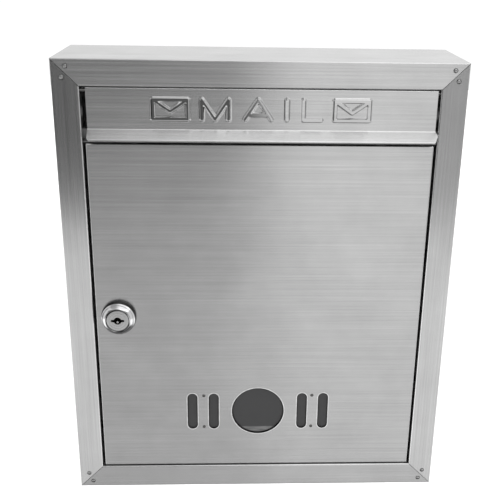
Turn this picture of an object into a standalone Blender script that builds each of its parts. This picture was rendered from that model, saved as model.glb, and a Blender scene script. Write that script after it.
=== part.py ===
"""A wall mounted letter box in folded stainless sheet.

Four mitred bars make the case, closed by a back tray. A lift-up flap covers the mail
slot, and a lockable door turns on two pivot pins at its right-hand edge.
Frame: X to the right, +Y into the wall, +Z up. The origin is the centre of the back.
"""

import math

import bmesh
import bpy
from mathutils import Euler, Matrix, Vector

MM = 0.001

# ---- Driving dimensions -------------------------------------------------------------
WIDTH, HEIGHT, DEPTH = 250 * MM, 300 * MM, 65 * MM
SHEET = 0.8 * MM  # sheet thickness
BEND = 1.2 * MM  # outside radius of a fold
GAP = 0.3 * MM  # air left between pieces that touch
BAR_FACE = 16.4 * MM  # width of the frame seen from the front
BAR_RETURN = 8 * MM  # how deep the frame turns back beside the door
BAR_LIP = 5 * MM  # stiffening lip behind the return
OPEN_X, OPEN_Z = WIDTH / 2 - BAR_FACE, HEIGHT / 2 - BAR_FACE
REAR_GAP = GAP  # the bars stop short of the wall, so the back tray rests on it

# Door, as edges in X and Z and depths behind the front plane
DOOR_LEFT, DOOR_RIGHT = -107.0 * MM, 107.2 * MM
DOOR_BOTTOM, DOOR_TOP = -133.0 * MM, 98.8 * MM
DOOR_RECESS, DOOR_DEEP = 1.0 * MM, 9 * MM
PIVOT_X, PIVOT_DEPTH = 100.4 * MM, 4.6 * MM
PIN_R, PIN_HOLE_R = 1.5 * MM, 1.8 * MM

# Viewing window and its vent slots
WINDOW_Z, WINDOW_R = -89.8 * MM, 18 * MM
SLOT_WIDE, SLOT_TALL = 7 * MM, 28 * MM
SLOT_X = (30.4 * MM, 45.0 * MM)
PANE_RIVET_X, PANE_RIVET_DZ = 37.2 * MM, 12.3 * MM
PANE_WIDE, PANE_TALL, PANE_THICK = 112 * MM, 46 * MM, 1.5 * MM

# Flap
FLAP_LEFT, FLAP_RIGHT = -105.2 * MM, 107.0 * MM
FLAP_TOP, FLAP_BEND_Z = 133.2 * MM, 107.9 * MM
FLAP_RECESS = 1.0 * MM
FLAP_FOLD = 5.5 * MM  # how far its top edge is folded back over the hinge rod
ROD_R, ROD_HOLE_R = 0.9 * MM, 1.2 * MM
LIP_LENGTH, LIP_ANGLE = 8.7 * MM, math.radians(53.5)
LIP_CORNER_R = 4 * MM
FLAP_AXIS_DEPTH, FLAP_AXIS_Z = FLAP_RECESS + 2.0 * MM, FLAP_TOP - 2.2 * MM
EAR_DEEP = 6.0 * MM  # the flap's two side returns, which turn on the rod

# Pressed word and envelope signs on the flap
EMBOSS_Z, EMBOSS_TALL, EMBOSS_UP = 120.4 * MM, 14.4 * MM, 0.9 * MM
STROKE = 2.6 * MM
LETTER_M, LETTER_A = (-36 * MM, -20 * MM), (-10 * MM, 6 * MM)  # centre lines, left and right
LETTER_I, LETTER_L = 15.5 * MM, (25.5 * MM, 36 * MM)
ENVELOPE_X, ENVELOPE_WIDE = 55 * MM, 21 * MM

# Cam lock
LOCK_X, LOCK_Z = -92.2 * MM, -17.6 * MM
BARREL_R, BARREL_FLAT, BARREL_BACK = 9.0 * MM, 8.0 * MM, 15.0 * MM
BORE_R, PLUG_R = 7.65 * MM, 7.3 * MM
TAIL_R, TAIL_FLAT = 4.2 * MM, 3.0 * MM
CAM_HUB_DEPTH, CAM_ARM_DEPTH, CAM_THICK = 15.6 * MM, 10.4 * MM, 1.6 * MM
CAM_WIDE, CAM_REACH, CAM_HEEL = 13 * MM, 26 * MM, 7 * MM

# Back tray and its fixing holes
TRAY_FLANGE = 12 * MM
WALL_HOLE_R, WALL_HOLE_X, WALL_HOLE_Z = 3.0 * MM, 85 * MM, 105 * MM

ROUND_STEPS = 32  # sides of a round piece
SMALL_STEPS = 12  # sides of a rivet or a pin

STEEL = ("brushed_steel", (0.55, 0.55, 0.55, 1), 0.35, 1.0)
CHROME = ("chrome_plate", (0.75, 0.75, 0.76, 1), 0.12, 1.0)
ZINC = ("zinc_steel", (0.50, 0.50, 0.49, 1), 0.45, 1.0)
ACRYLIC = ("smoked_acrylic", (0.30, 0.31, 0.32, 0.6), 0.08, 0.0)


# ---- Scene and placing --------------------------------------------------------------
def clear_scene():
    for obj in list(bpy.data.objects):
        bpy.data.objects.remove(obj)


def collection(name):
    made = bpy.data.collections.new(name)
    bpy.context.scene.collection.children.link(made)
    return made


clear_scene()
PARTS = collection("letter_box")
CUTTERS = collection("cutters")


def material(look):
    name, colour, roughness, metallic = look
    found = bpy.data.materials.get(name)
    if found:
        return found
    made = bpy.data.materials.new(name)
    made.use_nodes = True
    shader = made.node_tree.nodes["Principled BSDF"]
    shader.inputs["Base Color"].default_value = colour
    shader.inputs["Roughness"].default_value = roughness
    shader.inputs["Metallic"].default_value = metallic
    shader.inputs["Alpha"].default_value = colour[3]
    return made


def at(x, depth, z):
    """A point given by its depth behind the front plane."""
    return Vector((x, depth - DEPTH, z))


def joint_axis(name, location):
    axis = bpy.data.objects.new(name, None)
    axis.location = location
    axis.empty_display_size = 20 * MM
    PARTS.objects.link(axis)
    return axis


def place(obj, look, parent=None):
    """Gives a finished object its material, and hangs it on its joint's axis."""
    obj.data.materials.clear()
    obj.data.materials.append(material(look))
    if parent is not None:
        obj.parent = parent
        obj.matrix_parent_inverse = Matrix.Translation(parent.location).inverted()
    return obj


# ---- Shapes -------------------------------------------------------------------------
def new_object(name, mesh, location=(0, 0, 0), turn=(0, 0, 0), cutter=False):
    obj = bpy.data.objects.new(name, mesh)
    obj.location = location
    obj.rotation_euler = turn
    (CUTTERS if cutter else PARTS).objects.link(obj)
    if cutter:
        obj.hide_render = True
        obj.display_type = "WIRE"
    return obj


def mesh_of(name, bm):
    mesh = bpy.data.meshes.new(name)
    bm.to_mesh(mesh)
    bm.free()
    return mesh


def box(name, low, high, cutter=False):
    """A plain block between two corners in world space."""
    low, high = Vector(low), Vector(high)
    bm = bmesh.new()
    bmesh.ops.create_cube(bm, size=1)
    bmesh.ops.scale(bm, vec=high - low, verts=bm.verts)
    return new_object(name, mesh_of(name, bm), (low + high) / 2, cutter=cutter)


def circle(radius, steps, centre=(0, 0), start=0):
    angles = [start + i * math.tau / steps for i in range(steps)]
    return [(centre[0] + radius * math.cos(a), centre[1] + radius * math.sin(a)) for a in angles]


def rounded_rectangle(low, high, radii, steps=6):
    """Corner radii go counter-clockwise from the lower left; 0 keeps a corner sharp."""
    corners = [(low[0], low[1]), (high[0], low[1]), (high[0], high[1]), (low[0], high[1])]
    inward = [(1, 1), (-1, 1), (-1, -1), (1, -1)]
    points = []
    for n, ((x, y), (dx, dy), radius) in enumerate(zip(corners, inward, radii)):
        if not radius:
            points.append((x, y))
            continue
        for i in range(steps + 1):
            angle = math.pi + n * math.pi / 2 + i * math.pi / 2 / steps
            points.append(
                (
                    x + dx * radius + radius * math.cos(angle),
                    y + dy * radius + radius * math.sin(angle),
                )
            )
    return points


def double_d(radius, flat, steps=20):
    """A circle with two flats, left and right."""
    corner = math.acos(flat / radius)
    sweep = math.pi - 2 * corner
    points = []
    for start in (corner, math.pi + corner):
        for i in range(steps + 1):
            angle = start + sweep * i / steps
            points.append((radius * math.cos(angle), radius * math.sin(angle)))
    return points


def flat_curve(name, outlines, thickness):
    """A 2D curve filled between its outlines: the first is the edge, the others are holes."""
    curve = bpy.data.curves.new(name, "CURVE")
    curve.dimensions = "2D"
    curve.fill_mode = "BOTH"
    curve.extrude = thickness / 2
    for outline in outlines:
        spline = curve.splines.new("POLY")
        spline.points.add(len(outline) - 1)
        for point, (x, y) in zip(spline.points, outline):
            point.co = (x, y, 0, 1)
        spline.use_cyclic_u = True
    return curve


FACING_FRONT = Euler((math.pi / 2, 0, 0))  # turns a flat outline upright, Y becoming Z


def plate(name, outlines, depth, thickness, origin=(0, 0)):
    """A flat plate parallel to the front, from depth backwards."""
    curve = flat_curve(name, outlines, thickness)
    where = at(origin[0], depth + thickness / 2, origin[1])
    return new_object(name, curve, where, FACING_FRONT)


def as_mesh(obj, cutter=False):
    """Replaces a curve by its mesh, welded, so that Booleans accept it."""
    bpy.context.view_layer.update()
    graph = bpy.context.evaluated_depsgraph_get()
    mesh = bpy.data.meshes.new_from_object(obj.evaluated_get(graph))
    name, matrix = obj.name, obj.matrix_world.copy()
    bpy.data.objects.remove(obj)
    bm = bmesh.new()
    bm.from_mesh(mesh)
    bmesh.ops.remove_doubles(bm, verts=bm.verts, dist=0.00001)
    bmesh.ops.recalc_face_normals(bm, faces=bm.faces)
    bm.to_mesh(mesh)
    bm.free()
    solid = new_object(name, mesh, cutter=cutter)
    solid.matrix_world = matrix
    return solid


def turned(name, profile, location, turn=FACING_FRONT, steps=ROUND_STEPS, closed=False):
    """A turned piece: (radius, height) points down its outer side, spun about its own Z."""
    bm = bmesh.new()
    verts = [bm.verts.new((r, 0, h)) for r, h in profile]
    for a, b in zip(verts, verts[1:] + ([verts[0]] if closed else [])):
        bm.edges.new((a, b))
    obj = new_object(name, mesh_of(name, bm), location, turn)
    screw = obj.modifiers.new("turn", "SCREW")
    screw.steps = screw.render_steps = steps
    screw.use_merge_vertices = True
    screw.merge_threshold = 0.00001
    screw.use_smooth_shade = True
    return obj


def folded_strip(name, path, length, thickness=SHEET, bend=BEND, side=1, bend_steps=2):
    """Sheet folded along a (Y, Z) path and drawn out along X, centred on X = 0."""
    bm = bmesh.new()
    row = [bm.verts.new((-length / 2, y, z)) for y, z in path]
    edges = [bm.edges.new(pair) for pair in zip(row, row[1:])]
    drawn = bmesh.ops.extrude_edge_only(bm, edges=edges)["geom"]
    moved = [v for v in drawn if isinstance(v, bmesh.types.BMVert)]
    bmesh.ops.translate(bm, vec=(length, 0, 0), verts=moved)
    obj = new_object(name, mesh_of(name, bm))
    if bend:
        fold = obj.modifiers.new("fold", "BEVEL")
        fold.width = bend
        fold.segments = bend_steps
        fold.limit_method = "ANGLE"
        fold.angle_limit = math.radians(30)
    wall = obj.modifiers.new("sheet", "SOLIDIFY")
    wall.thickness = thickness
    wall.offset = side
    wall.use_even_offset = True
    return obj


def folded_pan(name, low, high, open_side, bend=BEND):
    """A shallow pan of folded sheet, open towards +Y or -Y."""
    obj = box(name, low, high)
    bm = bmesh.new()
    bm.from_mesh(obj.data)
    missing = [f for f in bm.faces if f.normal.y * open_side > 0.5]
    bmesh.ops.delete(bm, geom=missing, context="FACES")
    bm.to_mesh(obj.data)
    bm.free()
    fold = obj.modifiers.new("fold", "BEVEL")
    fold.width = bend
    fold.segments = 2
    wall = obj.modifiers.new("sheet", "SOLIDIFY")
    wall.thickness = SHEET
    wall.offset = -1
    wall.use_even_offset = True
    return obj


def boolean(obj, other, operation="DIFFERENCE"):
    step = obj.modifiers.new(other.name, "BOOLEAN")
    step.operation = operation
    step.object = other
    return obj


def cutter_prism(name, outline, depth_from, depth_to, origin=(0, 0)):
    """A cutter with this front outline, running between two depths."""
    solid = plate(name, [outline], depth_from, depth_to - depth_from, origin)
    return as_mesh(solid, cutter=True)


def upright_cutter(name, radius, x, depth, z_from, z_to):
    """A round cutter standing along Z."""
    bm = bmesh.new()
    bmesh.ops.create_cone(
        bm,
        cap_ends=True,
        segments=SMALL_STEPS * 2,
        radius1=radius,
        radius2=radius,
        depth=z_to - z_from,
    )
    return new_object(name, mesh_of(name, bm), at(x, depth, (z_from + z_to) / 2), cutter=True)


# ---- Case: four mitred bars, gussets and rivets -------------------------------------
BAR_TURNS = {"top": 0, "right": math.pi / 2, "bottom": math.pi, "left": -math.pi / 2}
# A rivet's distance along its bar from the corner, and in from the bar's outer edge
RIVET_PLACES = {"level": (9.0 * MM, 4.5 * MM), "upright": (11.0 * MM, 6.5 * MM)}
RIVET_R, RIVET_HOLE_R, RIVET_TAIL_R = 1.2 * MM, 1.5 * MM, 2.2 * MM
GUSSET_THICK, GUSSET_ARM = 1.2 * MM, 30 * MM


def bar_section(reach):
    """Outer wall, front face, return and lip of a bar whose outer face is at Z = reach."""
    front, inner = -DEPTH, reach - BAR_FACE
    return [
        (-REAR_GAP, reach),
        (front, reach),
        (front, inner),
        (front + BAR_RETURN, inner),
        (front + BAR_RETURN, inner + BAR_LIP),
    ]


def mitred_bar(side):
    upright = side in ("left", "right")
    length, reach = (HEIGHT, WIDTH / 2) if upright else (WIDTH, HEIGHT / 2)
    bar = folded_strip(f"frame_{side}", bar_section(reach), length + 4 * BEND)
    turn = BAR_TURNS[side]
    bar.rotation_euler = (0, turn, 0)

    # The mitre: a trapezium that narrows by as much as it goes in, less half the joint's gap.
    half = length / 2 - GAP / 2 * math.sqrt(2)
    out, deep = 2 * MM, BAR_FACE + 4 * MM
    trapezium = [
        (-half - out, reach + out),
        (-half + deep, reach - deep),
        (half - deep, reach - deep),
        (half + out, reach + out),
    ]
    mitre = cutter_prism(f"mitre_{side}", trapezium, -2 * MM, DEPTH + 2 * MM)
    mitre.matrix_world = Matrix.Rotation(turn, 4, "Y") @ mitre.matrix_world
    boolean(bar, mitre, "INTERSECT")

    # A rivet hole near each end.
    along, inward = RIVET_PLACES["upright" if upright else "level"]
    for end in (-1, 1):
        centre = (end * (length / 2 - along), reach - inward)
        hole = cutter_prism(
            f"rivet_hole_{side}_{end}",
            circle(RIVET_HOLE_R, SMALL_STEPS),
            -1 * MM,
            SHEET + 1 * MM,
            centre,
        )
        hole.matrix_world = Matrix.Rotation(turn, 4, "Y") @ hole.matrix_world
        boolean(bar, hole)
    return place(bar, STEEL)


def rivet(name, x, z, radius, front, clamp, tail_radius, parent=None):
    """A flush rivet: shank from front to clamp, then a formed head behind the sheets."""
    tail = 0.8 * MM
    profile = [
        (0, -front),
        (radius - 0.2 * MM, -front),
        (radius, -front - 0.2 * MM),
        (radius, -clamp),
        (tail_radius, -clamp),
        (tail_radius, -clamp - tail * 0.5),
        (tail_radius * 0.6, -clamp - tail),
        (0, -clamp - tail),
    ]
    piece = turned(name, profile, at(x, 0, z), steps=SMALL_STEPS)
    return place(piece, ZINC, parent)


def corner(name, sx, sz):
    """The gusset behind one mitre, and the two rivets that hold the bars to it."""
    edge = SHEET + 2 * GAP
    inner = BAR_FACE - SHEET - 2.5 * MM  # clear of the flap's rod
    outline = [
        (edge, edge),
        (GUSSET_ARM, edge),
        (GUSSET_ARM, inner),
        (inner, inner),
        (inner, GUSSET_ARM),
        (edge, GUSSET_ARM),
    ]
    level, upright = RIVET_PLACES["level"], RIVET_PLACES["upright"]
    rivets = {"level": level, "upright": (upright[1], upright[0])}

    def to_world(point):
        """A point given by its distances in from the case's side and from its top or bottom."""
        return (sx * (WIDTH / 2 - point[0]), sz * (HEIGHT / 2 - point[1]))

    holes = [circle(RIVET_HOLE_R, SMALL_STEPS, to_world(centre)) for centre in rivets.values()]
    outlines = [[to_world(p) for p in outline]] + holes
    front = SHEET + GAP
    place(plate(f"gusset_{name}", outlines, front, GUSSET_THICK), STEEL)
    proud, behind = -0.15 * MM, front + GUSSET_THICK + GAP
    for bar, centre in rivets.items():
        x, z = to_world(centre)
        rivet(f"corner_rivet_{name}_{bar}", x, z, RIVET_R, proud, behind, RIVET_TAIL_R)


def back_tray():
    """The back, with a flange all round inside the bars, and four holes for wall screws."""
    inset = SHEET + GAP
    half_x, half_z = WIDTH / 2 - inset, HEIGHT / 2 - inset
    tray = folded_pan(
        "back_tray", (-half_x, -TRAY_FLANGE, -half_z), (half_x, 0, half_z), open_side=-1
    )
    for sx in (-1, 1):
        for sz in (-1, 1):
            hole = cutter_prism(
                f"wall_hole_{sx}_{sz}",
                circle(WALL_HOLE_R, SMALL_STEPS * 2),
                DEPTH - 3 * MM,
                DEPTH + 2 * MM,
                (sx * WALL_HOLE_X, sz * WALL_HOLE_Z),
            )
            boolean(tray, hole)
    return place(tray, STEEL)


def build_case():
    for side in BAR_TURNS:
        mitred_bar(side)
    for row, sz in (("top", 1), ("bottom", -1)):
        for column, sx in (("left", -1), ("right", 1)):
            corner(f"{row}_{column}", sx, sz)
    back_tray()


# ---- Door ---------------------------------------------------------------------------
def pane_rivet_places():
    return [
        (sx * PANE_RIVET_X, WINDOW_Z + sz * PANE_RIVET_DZ) for sz in (1, -1) for sx in (-1, 1)
    ]


PANE_HOLE_R, PANE_RIVET_R = 1.1 * MM, 0.8 * MM


def door_panel(axis):
    """The folded door, pierced for the window, the vents, the lock and the pivots."""
    door = folded_pan(
        "door_panel",
        at(DOOR_LEFT, DOOR_RECESS, DOOR_BOTTOM),
        at(DOOR_RIGHT, DOOR_RECESS + DOOR_DEEP, DOOR_TOP),
        open_side=1,
    )
    front, behind = DOOR_RECESS - 1 * MM, DOOR_RECESS + SHEET + 1 * MM
    boolean(
        door,
        cutter_prism("window_cut", circle(WINDOW_R, 40), front, behind, (0, WINDOW_Z)),
    )
    end = SLOT_WIDE / 2
    vent = rounded_rectangle((-end, -SLOT_TALL / 2), (end, SLOT_TALL / 2), [end * 0.999] * 4, 5)
    for sx in (-1, 1):
        for n, x in enumerate(SLOT_X):
            cut = cutter_prism(f"vent_cut_{sx}_{n}", vent, front, behind, (sx * x, WINDOW_Z))
            boolean(door, cut)
    for n, centre in enumerate(pane_rivet_places()):
        outline = circle(PANE_HOLE_R, SMALL_STEPS)
        boolean(door, cutter_prism(f"pane_hole_{n}", outline, front, behind, centre))
    lock_hole = double_d(BARREL_R + GAP, BARREL_FLAT + GAP, 10)
    boolean(door, cutter_prism("lock_cut", lock_hole, front, behind, (LOCK_X, LOCK_Z)))
    for name, z in (("top", DOOR_TOP), ("bottom", DOOR_BOTTOM)):
        cut = upright_cutter(
            f"pivot_cut_{name}", PIN_HOLE_R, PIVOT_X, PIVOT_DEPTH, z - 3 * MM, z + 3 * MM
        )
        boolean(door, cut)
    return place(door, STEEL, axis)


def window(axis):
    """The clear pane behind the openings, held by four rivets through the door."""
    depth = DOOR_RECESS + SHEET + GAP
    half_x, half_z = PANE_WIDE / 2, PANE_TALL / 2
    edge = rounded_rectangle(
        (-half_x, WINDOW_Z - half_z), (half_x, WINDOW_Z + half_z), [3 * MM] * 4, 4
    )
    holes = [circle(PANE_HOLE_R, SMALL_STEPS, centre) for centre in pane_rivet_places()]
    place(plate("window_pane", [edge] + holes, depth, PANE_THICK), ACRYLIC, axis)
    behind = depth + PANE_THICK + GAP
    for n, (x, z) in enumerate(pane_rivet_places(), 1):
        front = DOOR_RECESS - 0.1 * MM
        rivet(f"pane_rivet_{n}", x, z, PANE_RIVET_R, front, behind, 2 * MM, axis)


def pivot(name, z_head, z_head_end, z_tip):
    """A pivot pin: a flat head on the case's side, its shank reaching into the door."""
    head_r = 2.3 * MM
    up = 1 if z_head_end > z_tip else -1
    profile = [
        (0, abs(z_head_end - z_tip)),
        (head_r, abs(z_head_end - z_tip)),
        (head_r, abs(z_head - z_tip)),
        (PIN_R, abs(z_head - z_tip)),
        (PIN_R, 0.4 * MM),
        (PIN_R - 0.4 * MM, 0),
        (0, 0),
    ]
    turn = (0, 0, 0) if up > 0 else (math.pi, 0, 0)
    pin = turned(name, profile, at(PIVOT_X, PIVOT_DEPTH, z_tip), turn, SMALL_STEPS + 4)
    return place(pin, ZINC)


REAR_OF_LIP = BAR_RETURN + GAP  # where pieces lie against the bars' lips
SILL_Z = DOOR_TOP + 0.6 * MM  # underside of the sill between the door and the mail slot
SILL_FRONT, SILL_TALL = 2.2 * MM, 7 * MM


def slot_sill():
    """An angle across the case under the mail slot. It carries the door's upper pin."""
    wide, narrow = OPEN_X + BAR_LIP - GAP, OPEN_X - GAP
    upright = rounded_rectangle((-wide, SILL_Z), (wide, SILL_Z + SILL_TALL), [1 * MM] * 4, 2)
    sill = as_mesh(plate("slot_sill", [upright], REAR_OF_LIP, SHEET))
    ledge = box(
        "sill_ledge",
        at(-narrow, SILL_FRONT, SILL_Z + 0.01 * MM),
        at(narrow, REAR_OF_LIP + SHEET / 2, SILL_Z + SHEET),
        cutter=True,
    )
    boolean(sill, ledge, "UNION")
    hole = upright_cutter(
        "sill_pin_hole", PIN_HOLE_R, PIVOT_X, PIVOT_DEPTH, SILL_Z - 1 * MM, SILL_Z + 2 * MM
    )
    boolean(sill, hole)
    return place(sill, STEEL)


def door_pivots():
    """The upper pin hangs in the sill, and the lower one stands in the bottom bar."""
    over_sill = SILL_Z + SHEET + GAP
    pivot("door_pin_top", over_sill, over_sill + 1 * MM, DOOR_TOP - 3 * MM)
    under_bar = -OPEN_Z - SHEET - GAP
    pivot("door_pin_bottom", under_bar, under_bar - 1 * MM, DOOR_BOTTOM + 3 * MM)
    hole = upright_cutter(
        "bar_pivot_hole", PIN_HOLE_R, PIVOT_X, PIVOT_DEPTH, -OPEN_Z - 3 * MM, -OPEN_Z + 3 * MM
    )
    boolean(bpy.data.objects["frame_bottom"], hole)


def door_stop(name, z):
    """A joggled tab behind the left bar that the closing door comes to rest on."""
    rear = DOOR_RECESS + DOOR_DEEP + GAP
    left = -OPEN_X - BAR_LIP + GAP
    path = [
        (REAR_OF_LIP - DEPTH, left),
        (REAR_OF_LIP - DEPTH, -OPEN_X - 0.6 * MM),
        (rear - DEPTH, -OPEN_X + 0.9 * MM),
        (rear - DEPTH, DOOR_LEFT + 5 * MM),
    ]
    tab = folded_strip(name, path, 14 * MM, bend=0.3 * MM, side=-1, bend_steps=1)
    # The strip is drawn along X from a (Y, Z) path, so turning it about Y stands it on end.
    tab.rotation_euler = (0, math.pi / 2, 0)
    tab.location = (0, 0, z)
    return place(tab, STEEL)


# ---- Cam lock -----------------------------------------------------------------------
def lock_housing(door_axis):
    """The bezel and its threaded barrel, with two flats that stop it turning."""
    face = -DOOR_RECESS
    profile = [
        (BORE_R, face + 6.4 * MM),
        (BORE_R + 0.5 * MM, face + 6.4 * MM),
        (10.3 * MM, face + 4.1 * MM),
        (10.7 * MM, face + 3.6 * MM),
        (11.5 * MM, face + 1.0 * MM),
        (11.5 * MM, face + GAP),
        (BARREL_R, face + GAP),
        (BARREL_R, -BARREL_BACK),
        (BORE_R, -BARREL_BACK),
    ]
    housing = turned("lock_housing", profile, at(LOCK_X, 0, LOCK_Z), closed=True)
    for side in (-1, 1):
        x = LOCK_X + side * (BARREL_FLAT + 1.5 * MM)
        flat = box(
            f"barrel_flat_{side}",
            at(x - 1.5 * MM, DOOR_RECESS - GAP / 2, LOCK_Z - 12 * MM),
            at(x + 1.5 * MM, BARREL_BACK + 2 * MM, LOCK_Z + 12 * MM),
            cutter=True,
        )
        boolean(housing, flat)
    return place(housing, CHROME, door_axis)


def lock_nut_and_washer(door_axis):
    washer_depth = DOOR_RECESS + SHEET + GAP
    washer_thick, nut_thick = 0.8 * MM, 4 * MM
    bore = circle(BARREL_R + GAP, ROUND_STEPS)
    centre = (LOCK_X, LOCK_Z)
    washer = plate(
        "lock_washer", [circle(12 * MM, ROUND_STEPS), bore], washer_depth, washer_thick, centre
    )
    place(washer, ZINC, door_axis)
    corner_r = 11.5 * MM / math.cos(math.pi / 6)
    hexagon = circle(corner_r, 6, start=math.pi / 6)  # a flat towards the door's edge
    nut_depth = washer_depth + washer_thick + GAP
    nut = plate("lock_nut", [hexagon, bore], nut_depth, nut_thick, centre)
    place(nut, ZINC, door_axis)


def keyway():
    """The key's slot: a round middle with a narrow wing to each side, tapered to its tip."""
    wing, half_tip, half_root, hub = 4.3 * MM, 0.65 * MM, 0.85 * MM, 2.2 * MM
    start = math.asin(half_root / hub)
    steps = 8
    points = []
    for side in (0, math.pi):
        sign = 1 if side == 0 else -1
        points += [(sign * wing, -sign * half_tip), (sign * wing, sign * half_tip)]
        for i in range(steps + 1):
            angle = side + start + (math.pi - 2 * start) * i / steps
            points.append((hub * math.cos(angle), hub * math.sin(angle)))
    return points


def lock_plug(turn_axis):
    """The cylinder that the key turns, with a flatted tail for the cam."""
    front, back = -DOOR_RECESS + 6.3 * MM, -BARREL_BACK - GAP
    tail_end = -CAM_HUB_DEPTH - CAM_THICK + 0.2 * MM
    screw_r, screw_deep = 2.0 * MM, 6 * MM
    profile = [
        (0, front),
        (PLUG_R - 0.3 * MM, front),
        (PLUG_R, front - 0.3 * MM),
        (PLUG_R, back),
        (TAIL_R, back),
        (TAIL_R, tail_end),
        (screw_r, tail_end),
        (screw_r, tail_end + screw_deep),
        (0, tail_end + screw_deep),
    ]
    plug = turned("lock_plug", profile, at(LOCK_X, 0, LOCK_Z))
    slot = cutter_prism("keyway_cut", keyway(), -8 * MM, 8 * MM, (LOCK_X, LOCK_Z))
    boolean(plug, slot)
    for side in (-1, 1):
        x = LOCK_X + side * (TAIL_FLAT + 1 * MM)
        flat = box(
            f"tail_flat_{side}",
            at(x - 1 * MM, BARREL_BACK + GAP * 1.1, LOCK_Z - 6 * MM),
            at(x + 1 * MM, BARREL_BACK + 6 * MM, LOCK_Z + 6 * MM),
            cutter=True,
        )
        boolean(plug, flat)
    return place(plug, CHROME, turn_axis)


def lock_cam(turn_axis):
    """A cranked cam on the plug's tail. It hangs straight down while the door is unlocked."""
    hub, arm = CAM_HUB_DEPTH - DEPTH, CAM_ARM_DEPTH - DEPTH
    past = 3 * MM
    path = [
        (hub, CAM_HEEL + past),
        (hub, -BARREL_R - 0.8 * MM),
        (arm, -BARREL_R - 5.5 * MM),
        (arm, -CAM_REACH - past),
    ]
    cam = folded_strip(
        "lock_cam", path, CAM_WIDE + 2 * past, CAM_THICK, bend=0.8 * MM, bend_steps=1
    )
    cam.location = (LOCK_X, 0, LOCK_Z)
    half = CAM_WIDE / 2
    outline = rounded_rectangle((-half, -CAM_REACH), (half, CAM_HEEL), [half * 0.98] * 4, 6)
    edge = cutter_prism("cam_edge", outline, 5 * MM, 25 * MM, (LOCK_X, LOCK_Z))
    boolean(cam, edge, "INTERSECT")
    seat = double_d(TAIL_R + GAP, TAIL_FLAT + GAP, 8)
    boolean(cam, cutter_prism("cam_seat", seat, 12 * MM, 20 * MM, (LOCK_X, LOCK_Z)))
    place(cam, ZINC, turn_axis)

    under_head = -CAM_HUB_DEPTH - CAM_THICK - GAP
    head_r, head_tall, shank_r = 4.6 * MM, 2.2 * MM, 1.6 * MM
    profile = [
        (0, under_head + 5.5 * MM),
        (shank_r, under_head + 5.5 * MM),
        (shank_r, under_head),
        (head_r, under_head),
        (head_r, under_head - head_tall * 0.6),
        (head_r * 0.7, under_head - head_tall),
        (0, under_head - head_tall),
    ]
    screw = turned("cam_screw", profile, at(LOCK_X, 0, LOCK_Z), steps=SMALL_STEPS * 2)
    place(screw, ZINC, turn_axis)


# ---- Flap ---------------------------------------------------------------------------
def flap_path():
    """The flap's skin from its folded top edge, down the front and out along the lip."""
    out, down = LIP_LENGTH * math.sin(LIP_ANGLE), LIP_LENGTH * math.cos(LIP_ANGLE)
    points = [
        (FLAP_RECESS + FLAP_FOLD, FLAP_TOP),
        (FLAP_RECESS, FLAP_TOP),
        (FLAP_RECESS, FLAP_BEND_Z),
        (FLAP_RECESS - out, FLAP_BEND_Z - down),
    ]
    return [(depth - DEPTH, z) for depth, z in points]


def stroke_outline(start, end):
    """A straight stroke of a letter, as a four-cornered outline with its corners counter-clockwise."""
    a, b = Vector(start), Vector(end)
    across = (b - a).normalized().orthogonal() * STROKE / 2
    return [tuple(p) for p in (a - across, b - across, b + across, a + across)]


def sign_strokes():
    """The pressed word, in plain block strokes, with an envelope sign at each end."""
    top, low = EMBOSS_TALL / 2, -EMBOSS_TALL / 2
    s = STROKE / 2
    upper, lower = top - s, low + s  # centre lines of a level stroke at the top or the bottom
    strokes = []

    def upright(x):
        strokes.append(((x, low), (x, top)))

    def line(x1, z1, x2, z2):
        strokes.append(((x1, z1), (x2, z2)))

    # M: two uprights and a V between them
    m_left, m_right = LETTER_M
    m_middle = (m_left + m_right) / 2
    for x in LETTER_M:
        upright(x)
        line(x, upper, m_middle, lower)
    # A: two sloping strokes and a crossbar
    a_left, a_right = LETTER_A
    a_middle, crossbar = (a_left + a_right) / 2, low + EMBOSS_TALL * 0.3
    for x in LETTER_A:
        line(x, low, a_middle, upper)
    line(a_left + STROKE, crossbar, a_right - STROKE, crossbar)
    # I, then L: an upright and a foot
    upright(LETTER_I)
    upright(LETTER_L[0])
    line(LETTER_L[0], lower, LETTER_L[1], lower)
    # An envelope at each end: a rectangle with its flap as a V
    for middle in (-ENVELOPE_X, ENVELOPE_X):
        left, right = middle - ENVELOPE_WIDE / 2, middle + ENVELOPE_WIDE / 2
        for z in (upper, lower):
            line(left, z, right, z)
        for x in (left, right):
            upright(x)
            line(x, upper, middle, -s)
    return strokes


def rod_hole(name, x):
    """A cutter along X on the flap's axis."""
    bm = bmesh.new()
    bmesh.ops.create_cone(
        bm,
        cap_ends=True,
        segments=SMALL_STEPS + 4,
        radius1=ROD_HOLE_R,
        radius2=ROD_HOLE_R,
        depth=3 * MM,
        matrix=Matrix.Rotation(math.pi / 2, 4, "Y"),
    )
    where = at(x, FLAP_AXIS_DEPTH, FLAP_AXIS_Z)
    return new_object(name, mesh_of(name, bm), where, cutter=True)


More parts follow.
